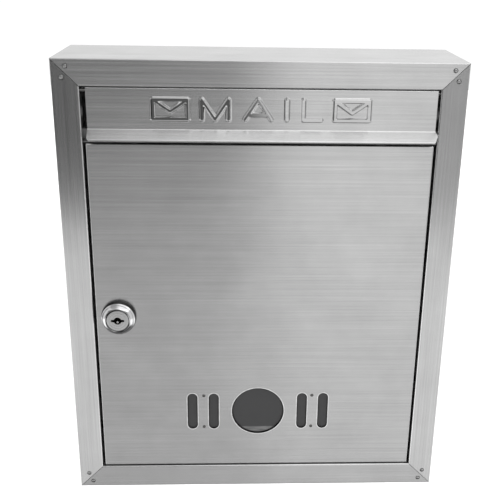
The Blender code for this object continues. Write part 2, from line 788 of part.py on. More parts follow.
def flap(axis):
    """The flap: folded top edge, raised word, flared finger lip, and an ear at each end."""
    middle, past = (FLAP_LEFT + FLAP_RIGHT) / 2, 4 * MM
    length = FLAP_RIGHT - FLAP_LEFT
    panel = folded_strip("flap_panel", flap_path(), length + 2 * past)
    panel.location = (middle, 0, 0)
    lip_edge = FLAP_BEND_Z - LIP_LENGTH * math.cos(LIP_ANGLE)
    outline = rounded_rectangle(
        (FLAP_LEFT, lip_edge - SHEET),
        (FLAP_RIGHT, HEIGHT / 2),
        [LIP_CORNER_R, LIP_CORNER_R, 0, 0],
    )
    boolean(panel, cutter_prism("flap_edge", outline, -12 * MM, 12 * MM), "INTERSECT")
    low, high = FLAP_BEND_Z + 2.4 * MM, FLAP_TOP - SHEET / 2
    inset = 0.2 * MM
    for name, x in (("left", FLAP_LEFT + inset), ("right", FLAP_RIGHT - inset - SHEET)):
        ear = box(
            f"flap_ear_{name}",
            at(x, FLAP_RECESS + SHEET / 2, low),
            at(x + SHEET, FLAP_RECESS + EAR_DEEP, high),
            cutter=True,
        )
        boolean(panel, ear, "UNION")
        boolean(panel, rod_hole(f"ear_hole_{name}", x + SHEET / 2))
    front, embed = FLAP_RECESS - EMBOSS_UP, FLAP_RECESS + SHEET / 2
    for n, (start, end) in enumerate(sign_strokes()):
        # Strokes that meet differ by a hair in height, so that no two faces share a plane.
        height = front + n % 3 * 0.004 * MM
        stroke = stroke_outline(start, end)
        raised = cutter_prism(f"sign_{n}", stroke, height, embed, (0, EMBOSS_Z))
        boolean(panel, raised, "UNION")
    return place(panel, STEEL, axis)


def flap_rod():
    """The hinge rod, whose ends sit in holes through the side bars' returns."""
    reach = OPEN_X + 2.4 * MM
    curve = bpy.data.curves.new("flap_rod", "CURVE")
    curve.dimensions = "3D"
    curve.bevel_depth = ROD_R
    curve.bevel_resolution = 2
    curve.use_fill_caps = True
    spline = curve.splines.new("POLY")
    spline.points.add(1)
    for point, x in zip(spline.points, (-reach, reach)):
        point.co = (x, 0, 0, 1)
    rod = new_object("flap_rod", curve, at(0, FLAP_AXIS_DEPTH, FLAP_AXIS_Z))
    place(rod, ZINC)
    for side, x in (("left", -OPEN_X), ("right", OPEN_X)):
        boolean(bpy.data.objects[f"frame_{side}"], rod_hole(f"bar_rod_hole_{side}", x))


# ---- Assembly -----------------------------------------------------------------------
def main():
    door_axis = joint_axis("door_hinge_axis", at(PIVOT_X, PIVOT_DEPTH, 0))
    flap_axis = joint_axis("flap_hinge_axis", at(0, FLAP_AXIS_DEPTH, FLAP_AXIS_Z))
    lock_axis = joint_axis("lock_turn_axis", at(LOCK_X, 0, LOCK_Z))
    bpy.context.view_layer.update()

    build_case()

    slot_sill()
    door_panel(door_axis)
    window(door_axis)
    door_pivots()
    door_stop("door_stop_upper", 60 * MM)
    door_stop("door_stop_lower", -95 * MM)

    lock_housing(door_axis)
    lock_nut_and_washer(door_axis)
    lock_plug(lock_axis)
    lock_cam(lock_axis)

    flap(flap_axis)
    flap_rod()


main()
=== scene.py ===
# %% [markdown]
# # A wall letter box in brushed stainless steel
#
# The working model gives the frame: where each bar, door, flap and lock part is, and how they move.
# This lesson builds the surfaces that the eye reads around it: folds with their true radius, a
# pressed sign, turned lock parts, and steel whose grain runs the way each sheet was brushed.

# %% The fixed frame
import math

import bmesh
import bpy
from mathutils import Euler, Matrix, Vector


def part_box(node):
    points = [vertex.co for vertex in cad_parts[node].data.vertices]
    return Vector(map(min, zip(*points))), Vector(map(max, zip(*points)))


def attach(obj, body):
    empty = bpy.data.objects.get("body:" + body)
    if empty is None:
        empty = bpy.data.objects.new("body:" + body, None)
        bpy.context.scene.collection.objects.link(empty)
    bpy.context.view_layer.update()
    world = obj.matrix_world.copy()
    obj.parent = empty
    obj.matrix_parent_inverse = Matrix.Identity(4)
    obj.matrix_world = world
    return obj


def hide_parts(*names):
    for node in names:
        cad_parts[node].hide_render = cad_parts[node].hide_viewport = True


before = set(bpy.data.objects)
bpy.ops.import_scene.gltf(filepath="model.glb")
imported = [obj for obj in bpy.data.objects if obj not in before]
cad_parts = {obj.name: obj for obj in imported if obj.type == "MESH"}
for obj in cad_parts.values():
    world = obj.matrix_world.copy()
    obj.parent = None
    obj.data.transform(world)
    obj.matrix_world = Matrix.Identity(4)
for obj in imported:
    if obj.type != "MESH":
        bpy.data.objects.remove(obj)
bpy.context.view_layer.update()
MM = 0.001

# %% [markdown]
# ## Measures
#
# Every place comes from the frame's own boxes, so the new surfaces land on the old ones. Only what a
# box can't tell is written here, such as the sheet's thickness and the radius of a fold.

# %% Measures of the sheet and of the case
SHEET = 0.8 * MM
FOLD_R = 0.8 * MM
FOLD_STEPS = 6

top_low, top_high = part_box("frame_top")
left_low, left_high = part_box("frame_left")
FRONT = top_low.y
BAR_FACE = left_high.x - left_low.x
HALF_X, HALF_Z = -left_low.x, top_high.z
BAR_REAR = top_high.y
BAR_RETURN, BAR_LIP = 8 * MM, 5 * MM
MITRE_GAP = 0.3 * MM
print(f"case {HALF_X * 2000:.0f} x {HALF_Z * 2000:.0f} mm, bars {BAR_FACE * 1000:.1f} mm wide")

# %% [markdown]
# ## Small helpers
#
# A piece is finished the same way each time: its mesh goes into an object at the origin, round parts
# are smoothed while edges stay sharp, and the piece rides on the body that it belongs to.

# %% Finishing a piece
SHARP = math.radians(32)


def finish_piece(name, bm, body, finish, stands_for=(), keep_flat=True):
    """Turns a bmesh into a named piece that rides on a body and stands for its solids."""
    bmesh.ops.remove_doubles(bm, verts=bm.verts, dist=0.000002)
    mesh = bpy.data.meshes.new(name)
    bm.to_mesh(mesh)
    bm.free()
    mesh.shade_smooth()
    mesh.set_sharp_from_angle(angle=SHARP)
    piece = bpy.data.objects.new(name, mesh)
    bpy.context.scene.collection.objects.link(piece)
    mesh.materials.append(finish)
    if keep_flat:
        weighted = piece.modifiers.new("flat stays flat", "WEIGHTED_NORMAL")
        weighted.keep_sharp = True
    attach(piece, body)
    if stands_for:
        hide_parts(*stands_for)
    print(f"{name}: {len(mesh.polygons)} faces")
    return piece


# %% Marking the direction of the grain
def grain_uv(bm, along):
    """A UV map in metres. U runs across the grain and V along it, on whichever way a face looks."""
    layer = bm.loops.layers.uv.new("grain")
    for face in bm.faces:
        for loop in face.loops:
            x, y, z = loop.vert.co
            loop[layer].uv = (z - y, x) if along == "X" else (x + y, z)


# %% [markdown]
# ## Steel that was brushed
#
# Brushing leaves thousands of fine lines, all one way. Two things show it. Streaks of slightly
# different tone run along the sheet, and a highlight is drawn out across the lines, because each line
# is a tiny groove. The streaks are noise that is stretched along the grain; the drawn-out highlight
# is the shader's anisotropy, with its tangent taken from the grain's own UV map.


# %% Short ways to add nodes
def link(tree, out, into):
    tree.links.new(out, into)


def feed(tree, socket, value):
    """Sets a plain number on a socket, or links a node's output to it."""
    if isinstance(value, (int, float)):
        socket.default_value = value
    else:
        link(tree, value, socket)


def calc(tree, operation, *values):
    """A Math node."""
    node = tree.nodes.new("ShaderNodeMath")
    node.operation = operation
    for socket, value in zip(node.inputs, values):
        feed(tree, socket, value)
    return node.outputs[0]


def spread(tree, value, start, end, low=0, high=1, kind="LINEAR"):
    """A Map Range node: as the value goes from start to end, the result goes from low to high."""
    node = tree.nodes.new("ShaderNodeMapRange")
    node.interpolation_type = kind
    for name, number in zip(("From Min", "From Max", "To Min", "To Max"), (start, end, low, high)):
        node.inputs[name].default_value = number
    feed(tree, node.inputs["Value"], value)
    return node.outputs["Result"]


def noise_in(tree, vector, scale, detail=2, roughness=0.5):
    """A Noise Texture node. The scale is one number, or three for noise that is drawn out."""
    if not isinstance(scale, (int, float)):
        mapping = tree.nodes.new("ShaderNodeMapping")
        mapping.inputs["Scale"].default_value = scale
        link(tree, vector, mapping.inputs["Vector"])
        vector, scale = mapping.outputs["Vector"], 1
    texture = tree.nodes.new("ShaderNodeTexNoise")
    texture.inputs["Scale"].default_value = scale
    texture.inputs["Detail"].default_value = detail
    texture.inputs["Roughness"].default_value = roughness
    link(tree, vector, texture.inputs["Vector"])
    return texture.outputs["Fac"]


# %% Short ways to start and end a finish
def new_finish(name, metallic=1.0):
    """A material with its node tree, its shader and the coordinates of its object."""
    finish = bpy.data.materials.new(name)
    finish.use_nodes = True
    tree = finish.node_tree
    shader = tree.nodes["Principled BSDF"]
    shader.inputs["Metallic"].default_value = metallic
    coordinates = tree.nodes.new("ShaderNodeTexCoord")
    return finish, tree, shader, coordinates.outputs["Object"]


def grey(tree, value):
    """The same value in red, green and blue."""
    colour = tree.nodes.new("ShaderNodeCombineColor")
    for channel in ("Red", "Green", "Blue"):
        link(tree, value, colour.inputs[channel])
    return colour.outputs["Color"]


def add_bump(tree, shader, height, strength, distance):
    bump = tree.nodes.new("ShaderNodeBump")
    bump.inputs["Strength"].default_value = strength
    bump.inputs["Distance"].default_value = distance
    link(tree, height, bump.inputs["Height"])
    link(tree, bump.outputs["Normal"], shader.inputs["Normal"])


# %% A node group for brushed lines
LINE_DEPTH = 0.000007
WAVE_DEPTH = 0.00035


def brushed_group():
    """Tone, roughness and height of brushed lines. The vector's X runs across them, in metres."""
    group = bpy.data.node_groups.new("brushed_lines", "ShaderNodeTree")
    sockets = group.interface
    sockets.new_socket("Grain", in_out="INPUT", socket_type="NodeSocketVector")
    for name in ("Smudge", "Tone", "Roughness", "Height"):
        in_out = "INPUT" if name == "Smudge" else "OUTPUT"
        sockets.new_socket(name, in_out=in_out, socket_type="NodeSocketFloat")
    given = group.nodes.new("NodeGroupInput")
    result = group.nodes.new("NodeGroupOutput")

    def streaks(across, along, detail):
        """Noise in lines: many a metre across the grain, few along it."""
        return noise_in(group, given.outputs["Grain"], (across, along, along), detail, 0.6)

    hair = streaks(2600, 14, 3)
    thread = streaks(950, 6, 3)
    band = streaks(150, 2.5, 2)
    smudge = streaks(24, 24, 3)
    wave = streaks(11, 9, 0)
    mixed = calc(group, "MULTIPLY_ADD", thread, 0.60, calc(group, "MULTIPLY", hair, 0.40))
    mixed = calc(group, "MULTIPLY_ADD", band, 0.24, mixed)
    centred = calc(group, "SUBTRACT", mixed, 0.62)
    dirt = calc(group, "SUBTRACT", smudge, 0.5)
    dirt = calc(group, "MULTIPLY", dirt, given.outputs["Smudge"])
    link(group, calc(group, "ADD", centred, dirt), result.inputs["Tone"])
    link(group, calc(group, "MULTIPLY_ADD", dirt, -0.6, centred), result.inputs["Roughness"])
    lines = calc(group, "MULTIPLY_ADD", thread, 0.6, hair)
    lines = calc(group, "MULTIPLY", lines, LINE_DEPTH)
    link(group, calc(group, "MULTIPLY_ADD", wave, WAVE_DEPTH, lines), result.inputs["Height"])
    return group


BRUSHED = brushed_group()


# %% A steel finish from that group
STREAK_SPAN = 0.25
GLOSS_SPAN = 0.03
PRESSED_GLOSS = 0.22


def brushed_steel(name, tone, roughness, anisotropy, streak=0.65, grain="uv", pressed=None):
    """A brushed steel. Grain is the piece's own map, or X for a plain part without one."""
    steel, tree, shader, place = new_finish(name)
    lines = tree.nodes.new("ShaderNodeGroup")
    lines.node_tree = BRUSHED
    lines.inputs["Smudge"].default_value = 0.45
    if grain == "uv":
        source = tree.nodes.new("ShaderNodeUVMap")
        source.uv_map = "grain"
        link(tree, source.outputs["UV"], lines.inputs["Grain"])
        tangent = tree.nodes.new("ShaderNodeTangent")
        tangent.direction_type = "UV_MAP"
        tangent.uv_map = "grain"
        link(tree, tangent.outputs["Tangent"], shader.inputs["Tangent"])
        shader.inputs["Anisotropic"].default_value = anisotropy
    else:
        turn = tree.nodes.new("ShaderNodeMapping")
        turn.inputs["Rotation"].default_value[1] = math.pi / 2
        link(tree, place, turn.inputs["Vector"])
        link(tree, turn.outputs["Vector"], lines.inputs["Grain"])

    low, high = tone * (1 - streak * 0.22), tone * (1 + streak * 0.22)
    shade = spread(tree, lines.outputs["Tone"], -STREAK_SPAN, STREAK_SPAN, low, high)
    link(tree, grey(tree, shade), shader.inputs["Base Color"])
    low, high = roughness - GLOSS_SPAN, roughness + GLOSS_SPAN
    gloss = spread(tree, lines.outputs["Roughness"], -STREAK_SPAN, STREAK_SPAN, low, high)
    if pressed:
        # Where the die has stretched the sheet, its surface is smoother.
        stretched = tree.nodes.new("ShaderNodeAttribute")
        stretched.attribute_name = pressed
        polish = spread(tree, stretched.outputs["Fac"], 0, 1, 1, PRESSED_GLOSS)
        gloss = calc(tree, "MULTIPLY", gloss, polish)
    link(tree, gloss, shader.inputs["Roughness"])
    add_bump(tree, shader, lines.outputs["Height"], 1, 1)
    return steel


SHEET_STEEL = brushed_steel("brushed_sheet", 0.62, 0.245, 0.91)
FLAP_STEEL = brushed_steel("brushed_and_pressed_sheet", 0.62, 0.245, 0.91, pressed="pressed")
INNER_STEEL = brushed_steel("mill_sheet", 0.26, 0.42, 0, streak=0.4, grain="X")

# %% [markdown]
# ## The case: four mitred bars
#
# Each bar is one strip of sheet. It starts as the flat face that is seen, a trapezium, because the
# bars meet at 45 degrees. Its long edges are then drawn backwards: the outer one becomes the side
# wall, the inner one the return beside the door. Only then are the two folds rounded, and the open
# sheet gets its thickness. Building it in this order keeps every fold true at the mitre.

# %% Filling a flat face with holes in it
RIM = 2.5 * MM


def loop_edges(bm, points):
    """A closed ring of edges through flat points (x, z) on the plane y = 0."""
    verts = [bm.verts.new((x, 0, z)) for x, z in points]
    return [bm.edges.new(pair) for pair in zip(verts, verts[1:] + verts[:1])]


def ring(x, z, radius, steps):
    """The points of a circle."""
    angles = [i * math.tau / steps for i in range(steps)]
    return [(x + radius * math.cos(a), z + radius * math.sin(a)) for a in angles]


def stadium(x, z, wide, tall, steps):
    """An upright slot with round ends."""
    radius, reach = wide / 2, (tall - wide) / 2
    points = []
    for side in (1, -1):
        for i in range(steps + 1):
            a = math.pi * i / steps + (0 if side > 0 else math.pi)
            points.append((x + radius * math.cos(a), z + side * reach + radius * math.sin(a)))
    return points


def filled(bm, outline, holes=()):
    """A flat face inside an outline, with holes. Returns the outline's edges."""
    border = loop_edges(bm, outline)
    inner = [edge for hole in holes for edge in loop_edges(bm, hole)]
    bmesh.ops.triangle_fill(bm, edges=border + inner, use_beauty=True)
    return border


# %% Drawing edges out and folding them
def draw_out(bm, edges, vector):
    """Extrudes edges along a vector, and returns the far edges."""
    made = bmesh.ops.extrude_edge_only(bm, edges=edges)["geom"]
    moved = [g for g in made if isinstance(g, bmesh.types.BMVert)]
    bmesh.ops.translate(bm, vec=vector, verts=moved)
    fresh = set(moved)
    return [e for e in made if isinstance(e, bmesh.types.BMEdge) and set(e.verts) <= fresh]


def fold(bm, edges, radius=FOLD_R, steps=FOLD_STEPS):
    """Rounds the edges that a sheet is folded along."""
    bmesh.ops.bevel(
        bm, geom=edges, offset=radius, offset_type="OFFSET", segments=steps,
        profile=0.5, affect="EDGES", clamp_overlap=False, material=-1,
    )


def thicken(bm, thickness=SHEET):
    """Gives an open sheet its thickness, behind the side that its faces look to."""
    bmesh.ops.solidify(bm, geom=bm.faces[:], thickness=thickness)
    bmesh.ops.recalc_face_normals(bm, faces=bm.faces)


# %% One bar, made as the top bar and turned to its side
LEVEL_RIVET, UPRIGHT_RIVET = (9.0 * MM, 4.5 * MM), (11.0 * MM, 6.5 * MM)
RIVET_HOLE_R = 1.5 * MM


def orient(bm, direction):
    """Makes sure that the sheet's faces look outwards before it gets its thickness."""
    bm.normal_update()
    if sum(f.calc_area() * f.normal.dot(direction) for f in bm.faces) < 0:
        bmesh.ops.reverse_faces(bm, faces=bm.faces[:])
        bm.normal_update()


def soften_mitres(bm):
    """Breaks the sharp front edge of both mitre cuts, which then shows as a fine bright line."""
    sharp = []
    for edge in bm.edges:
        if all(v.co.y < FRONT + 0.05 * MM for v in edge.verts) and len(edge.link_faces) == 2:
            along = edge.verts[1].co - edge.verts[0].co
            slanted = abs(abs(along.x) - abs(along.z)) < 0.05 * MM and abs(along.x) > MM
            if slanted and edge.calc_face_angle() > 1.2:
                sharp.append(edge)
    bmesh.ops.bevel(
        bm, geom=sharp, offset=0.22 * MM, offset_type="OFFSET", segments=2,
        profile=0.5, affect="EDGES", clamp_overlap=True, material=-1,
    )
    print(f"  {len(sharp)} mitre edges softened")


def make_bar(side):
    upright = side in ("left", "right")
    half, reach = (HALF_Z, HALF_X) if upright else (HALF_X, HALF_Z)
    along, inward = UPRIGHT_RIVET if upright else LEVEL_RIVET
    bm = bmesh.new()

    # The face: a rim along each long edge, so that the folds meet whole faces only.
    def row(depth_in):
        return half - depth_in, reach - depth_in

    levels = [row(d) for d in (0, RIM, BAR_FACE - RIM, BAR_FACE)]
    rows = [[bm.verts.new((x, 0, z)) for x in (-w, w)] for w, z in levels]
    for upper, lower in ((rows[0], rows[1]), (rows[2], rows[3])):
        bm.faces.new((upper[0], upper[1], lower[1], lower[0]))
    (wide, top), (narrow, bottom) = levels[1], levels[2]
    middle = [(-wide, top), (wide, top), (narrow, bottom), (-narrow, bottom)]
    holes = [ring(end * (half - along), reach - inward, RIVET_HOLE_R, 20) for end in (-1, 1)]
    filled(bm, middle, holes)
    bmesh.ops.remove_doubles(bm, verts=bm.verts, dist=0.000001)

    def edges_at(z):
        return [e for e in bm.edges if all(abs(v.co.z - z) < 1e-6 for v in e.verts)]

    outer, inner = edges_at(reach), edges_at(reach - BAR_FACE)
    draw_out(bm, outer, (0, BAR_REAR - FRONT, 0))
    rear = draw_out(bm, inner, (0, BAR_RETURN, 0))
    draw_out(bm, rear, (0, 0, BAR_LIP))
    bmesh.ops.recalc_face_normals(bm, faces=bm.faces)
    orient(bm, Vector((0, -1, 0)))
    folds = [e for e in bm.edges if len(e.link_faces) == 2 and e.calc_face_angle() > 1]
    fold(bm, folds)
    bmesh.ops.solidify(bm, geom=bm.faces[:], thickness=SHEET)
    bmesh.ops.translate(bm, vec=(0, FRONT, 0), verts=bm.verts)

    # Trim both ends along the mitre, a hair short of the corner's own line.
    for end in (-1, 1):
        plane = Vector((end * (half - MITRE_GAP / 2 * math.sqrt(2)), 0, reach))
        outwards = Vector((end, 0, -1)).normalized()
        cut = bmesh.ops.bisect_plane(
            bm, geom=bm.verts[:] + bm.edges[:] + bm.faces[:], dist=1e-7,
            plane_co=plane, plane_no=outwards, clear_outer=True,
        )["geom_cut"]
        bmesh.ops.holes_fill(bm, edges=[g for g in cut if isinstance(g, bmesh.types.BMEdge)])
    bmesh.ops.recalc_face_normals(bm, faces=bm.faces)
    soften_mitres(bm)

    # What is above the top bar is beside the others once it's turned.
    turn = {"top": 0, "right": math.pi / 2, "bottom": math.pi, "left": -math.pi / 2}[side]
    bmesh.ops.rotate(bm, matrix=Matrix.Rotation(turn, 3, "Y"), verts=bm.verts, cent=(0, 0, 0))
    bmesh.ops.recalc_face_normals(bm, faces=bm.faces)
    grain_uv(bm, "Z" if upright else "X")
    node = f"frame_{side}"
    return finish_piece(f"{node}_bar", bm, "case", SHEET_STEEL, [node])


for side in ("top", "right", "bottom", "left"):
    make_bar(side)

# %% [markdown]
# ## Rivets and other turned parts
#
# A rivet, a bezel and a screw are all made on a lathe, or look as if they were. Half of the outline is
# drawn as points of radius and depth, and spun once round the part's own axis.


# %% Spinning an outline
def turned_mesh(profile, x, z, steps=32, closed=False):
    """Spins (radius, depth behind the front plane) points, in mm, about a level axis."""
    bm = bmesh.new()
    verts = [bm.verts.new((x + r * MM, FRONT + depth * MM, z)) for r, depth in profile]
    ends = verts[1:] + verts[:1] if closed else verts[1:]
    edges = [bm.edges.new(pair) for pair in zip(verts, ends)]
    bmesh.ops.spin(
        bm, geom=verts + edges, cent=(x, 0, z), axis=(0, 1, 0),
        angle=math.tau, steps=steps, use_merge=True,
    )
    bmesh.ops.remove_doubles(bm, verts=bm.verts, dist=0.000002)
    bmesh.ops.recalc_face_normals(bm, faces=bm.faces)
    return bm


def centre_of(node):
    low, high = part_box(node)
    return (low + high) / 2


# %% Zinc, for rivets, pins and lock parts that stay out of sight
def mottled_metal(name, tone, tint, roughness, patch=160, bump_depth=0.00002):
    """A plated metal: soft patches of tone and gloss, as plating and handling leave them."""
    metal, tree, shader, place = new_finish(name)
    patches = noise_in(tree, place, patch, 5)
    ramp = tree.nodes.new("ShaderNodeValToRGB")
    for stop, where, change in zip(ramp.color_ramp.elements, (0.35, 0.65), (0.86, 1.08)):
        stop.position = where
        stop.color = [min(1, tone * change * t) for t in tint] + [1]
    link(tree, patches, ramp.inputs["Fac"])
    link(tree, ramp.outputs["Color"], shader.inputs["Base Color"])
    gloss = spread(tree, patches, 0.3, 0.7, roughness * 1.25, roughness * 0.8)
    link(tree, gloss, shader.inputs["Roughness"])
    add_bump(tree, shader, noise_in(tree, place, patch * 12), 0.25, bump_depth)
    return metal


ZINC = mottled_metal("zinc_plate", 0.60, (0.97, 0.99, 1.0), 0.34)
RIVET_STEEL = mottled_metal("rivet_steel", 0.50, (1.0, 1.0, 1.0), 0.30, patch=700)
DARK_STEEL = mottled_metal("darkened_steel", 0.20, (1.0, 0.99, 0.97), 0.38, patch=500)

# %% The corner rivets, flush but slightly domed
RIVET_R = 1.1
CROWN_ANGLE = 1.25


def make_rivet(name, node, body, radius, dome, finish):
    """A shank, a crowned end that shows in front, and a formed head behind."""
    low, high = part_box(node)
    middle = (low + high) / 2
    front, rear = (low.y - FRONT) / MM, (high.y - FRONT) / MM
    tail_r = (high.x - low.x) / 2 / MM
    crown = []
    for i in range(6):
        a = CROWN_ANGLE * i / 5
        sink = dome * (1 - math.cos(a)) / (1 - math.cos(CROWN_ANGLE))
        crown.append((radius * math.sin(a) / math.sin(CROWN_ANGLE), front + sink))
    tail = [(radius, rear - 0.8), (tail_r - 0.15, rear - 0.8), (tail_r, rear - 0.65)]
    tail += [(tail_r, rear - 0.4), (tail_r * 0.8, rear - 0.12), (tail_r * 0.4, rear), (0, rear)]
    bm = turned_mesh(crown + tail, middle.x, middle.z, steps=24)
    return finish_piece(name, bm, body, finish, [node], keep_flat=False)


for row in ("top", "bottom"):
    for column in ("left", "right"):
        for bar in ("level", "upright"):
            node = f"corner_rivet_{row}_{column}_{bar}"
            make_rivet(f"{node}_head", node, "case", RIVET_R, 0.22, RIVET_STEEL)

# %% [markdown]
# ## Pans: the door and the back
#
# The door and the back are the same kind of thing, a flat sheet with its four edges turned over to
# make a shallow pan. Openings are punched while the sheet is flat. So the flat face is filled with its
# holes in it first, then the border is drawn backwards, and the folds and corners are rounded. The
# door's openings also get a narrow collar each, where the punch has burnished the sheet; the collar's
# near-white colour is a painted highlight, and the cut wall behind it is painted near black as shade.


# %% One way to make a pan
def make_pan(low, high, holes, forwards, depth, collars=()):
    """A pan whose flat side looks along Y (-1 to the front, +1 to the wall)."""
    bm = bmesh.new()

    def rectangle(inset):
        x1, x2, z1, z2 = low.x + inset, high.x - inset, low.z + inset, high.z - inset
        return [(x1, z1), (x2, z1), (x2, z2), (x1, z2)]

    outer = [bm.verts.new((x, 0, z)) for x, z in rectangle(0)]
    inner = [bm.verts.new((x, 0, z)) for x, z in rectangle(RIM)]
    for i in range(4):
        j = (i + 1) % 4
        bm.faces.new((outer[i], outer[j], inner[j], inner[i]))
    filled(bm, rectangle(RIM), list(holes) + [wide for wide, true in collars])
    for wide, true in collars:
        rings = [[bm.verts.new((x, 0, z)) for x, z in points] for points in (wide, true)]
        for i in range(len(true)):
            a, b = rings[0][i - 1], rings[0][i]
            d, c = rings[1][i - 1], rings[1][i]
            bm.faces.new((a, b, c, d)).material_index = 1
    bmesh.ops.remove_doubles(bm, verts=bm.verts, dist=0.000001)
    border = [
        e for e in bm.edges
        if len(e.link_faces) == 1
        and any(abs(e.verts[0].co[a] - v) < 1e-6 and abs(e.verts[1].co[a] - v) < 1e-6
                for a, v in ((0, low.x), (0, high.x), (2, low.z), (2, high.z)))
    ]
    draw_out(bm, border, (0, -forwards * depth, 0))
    bmesh.ops.recalc_face_normals(bm, faces=bm.faces)
    orient(bm, Vector((0, forwards, 0)))
    folds = [e for e in bm.edges if len(e.link_faces) == 2 and e.calc_face_angle() > 1]
    fold(bm, folds)
    return bm


def soften_rims(bm, width=0.2 * MM, steps=2):
    """Takes the sharpness off the rims of punched holes."""
    rims = [e for e in bm.edges if len(e.link_faces) == 2 and e.calc_face_angle() > 1.2]
    bmesh.ops.bevel(
        bm, geom=rims, offset=width, offset_type="OFFSET", segments=steps,
        profile=0.5, affect="EDGES", clamp_overlap=True, material=-1,
    )


# %% Where the door is pierced
door_low, door_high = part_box("door_panel")
WINDOW_R, SLOT_WIDE, SLOT_TALL = 18 * MM, 7 * MM, 28 * MM
pane_low, pane_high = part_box("window_pane")
WINDOW_Z = (pane_low.z + pane_high.z) / 2
SLOT_PLACES = [side * x * MM for side in (-1, 1) for x in (30.4, 45.0)]
lock_centre = centre_of("lock_plug")
PANE_RIVETS = [f"pane_rivet_{n}" for n in range(1, 5)]

COLLAR = 0.5 * MM
windows = [(ring(0, WINDOW_Z, WINDOW_R + COLLAR, 64), ring(0, WINDOW_Z, WINDOW_R, 64))]
for x in SLOT_PLACES:
    wide = stadium(x, WINDOW_Z, SLOT_WIDE + 2 * COLLAR, SLOT_TALL + 2 * COLLAR, 12)
    windows.append((wide, stadium(x, WINDOW_Z, SLOT_WIDE, SLOT_TALL, 12)))
openings = [ring(centre_of(n).x, centre_of(n).z, 1.1 * MM, 16) for n in PANE_RIVETS]
openings += [ring(lock_centre.x, lock_centre.z, 9.3 * MM, 40)]
print(f"door {1000 * (door_high.x - door_low.x):.1f} mm wide, {len(windows)} windows")


# %% The rims of the openings: a burnished collar with a painted highlight, painted shade on the cut wall
RIM_WIDE = 0.22 * MM
# The burnished collar is glossier, and its near-white colour is a painted highlight.
BURNISHED_AND_PAINTED_HIGHLIGHT = mottled_metal("burnished_rim_painted_highlight", 0.95, (1.0, 1.0, 1.0), 0.22, patch=300)
# Painted shade: the wall where the sheet was cut is painted near black.
CUT_WALL_PAINTED_SHADE = mottled_metal("cut_wall_painted_shade", 0.04, (1.0, 1.0, 1.0), 0.5, patch=300)


# %% The door
def make_door():
    bm = make_pan(door_low, door_high, openings, -1, door_high.y - door_low.y, windows)
    bmesh.ops.translate(bm, vec=(0, door_low.y, 0), verts=bm.verts)
    thicken(bm)
    soften_rims(bm, RIM_WIDE, 3)
    # Behind the front, the collar's cut wall gets the painted shade, and its back face the plain sheet.
    for face in bm.faces:
        behind = face.calc_center_median().y > door_low.y + SHEET * 0.4
        if behind and face.material_index == 1:
            face.material_index = 2 if abs(face.normal.y) < 0.2 else 0
    grain_uv(bm, "X")
    piece = finish_piece("door_sheet", bm, "door", SHEET_STEEL, ["door_panel"])
    # Slot 1 holds the collar's painted highlight, slot 2 the cut wall's painted shade.
    piece.data.materials.append(BURNISHED_AND_PAINTED_HIGHLIGHT)
    piece.data.materials.append(CUT_WALL_PAINTED_SHADE)


make_door()

# %% The back, with its four holes for wall screws
tray_low, tray_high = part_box("back_tray")
WALL_HOLES = [ring(sx * 85 * MM, sz * 105 * MM, 3 * MM, 32) for sx in (-1, 1) for sz in (-1, 1)]


def make_back():
    bm = make_pan(tray_low, tray_high, WALL_HOLES, 1, tray_high.y - tray_low.y)
    bmesh.ops.translate(bm, vec=(0, tray_high.y, 0), verts=bm.verts)
    thicken(bm)
    soften_rims(bm)
    grain_uv(bm, "Z")
    finish_piece("back_pan", bm, "case", SHEET_STEEL, ["back_tray"])


make_back()

# %% [markdown]
# ## The window pane
#
# One pane of smoked acrylic lies behind all five openings, held by four small rivets. It is nearly
# black in front of the dark case, and what is seen is mostly its own surface, so its gloss counts for
# more than what lies behind it.


# %% Painted light on the pane: painted shade at its edges, and a painted reflection low in the window
REFLECTION_BAND_TALL, REFLECTION_BAND_HALF_WIDE = 5 * MM, 14.5 * MM
PAINTED_REFLECTION_TONE, PAINTED_EDGE_SHADE_TONE = 0.17, 0.004


def blend(tree, amount, first, tone):
    """Goes from a colour to a plain grey as the amount goes from 0 to 1."""
    node = tree.nodes.new("ShaderNodeMix")
    node.data_type = "RGBA"
    colours = [socket for socket in node.inputs if socket.type == "RGBA"]
    link(tree, amount, node.inputs["Factor"])
    link(tree, first, colours[0])
    colours[1].default_value = (tone, tone, tone, 1)
    return [socket for socket in node.outputs if socket.type == "RGBA"][0]


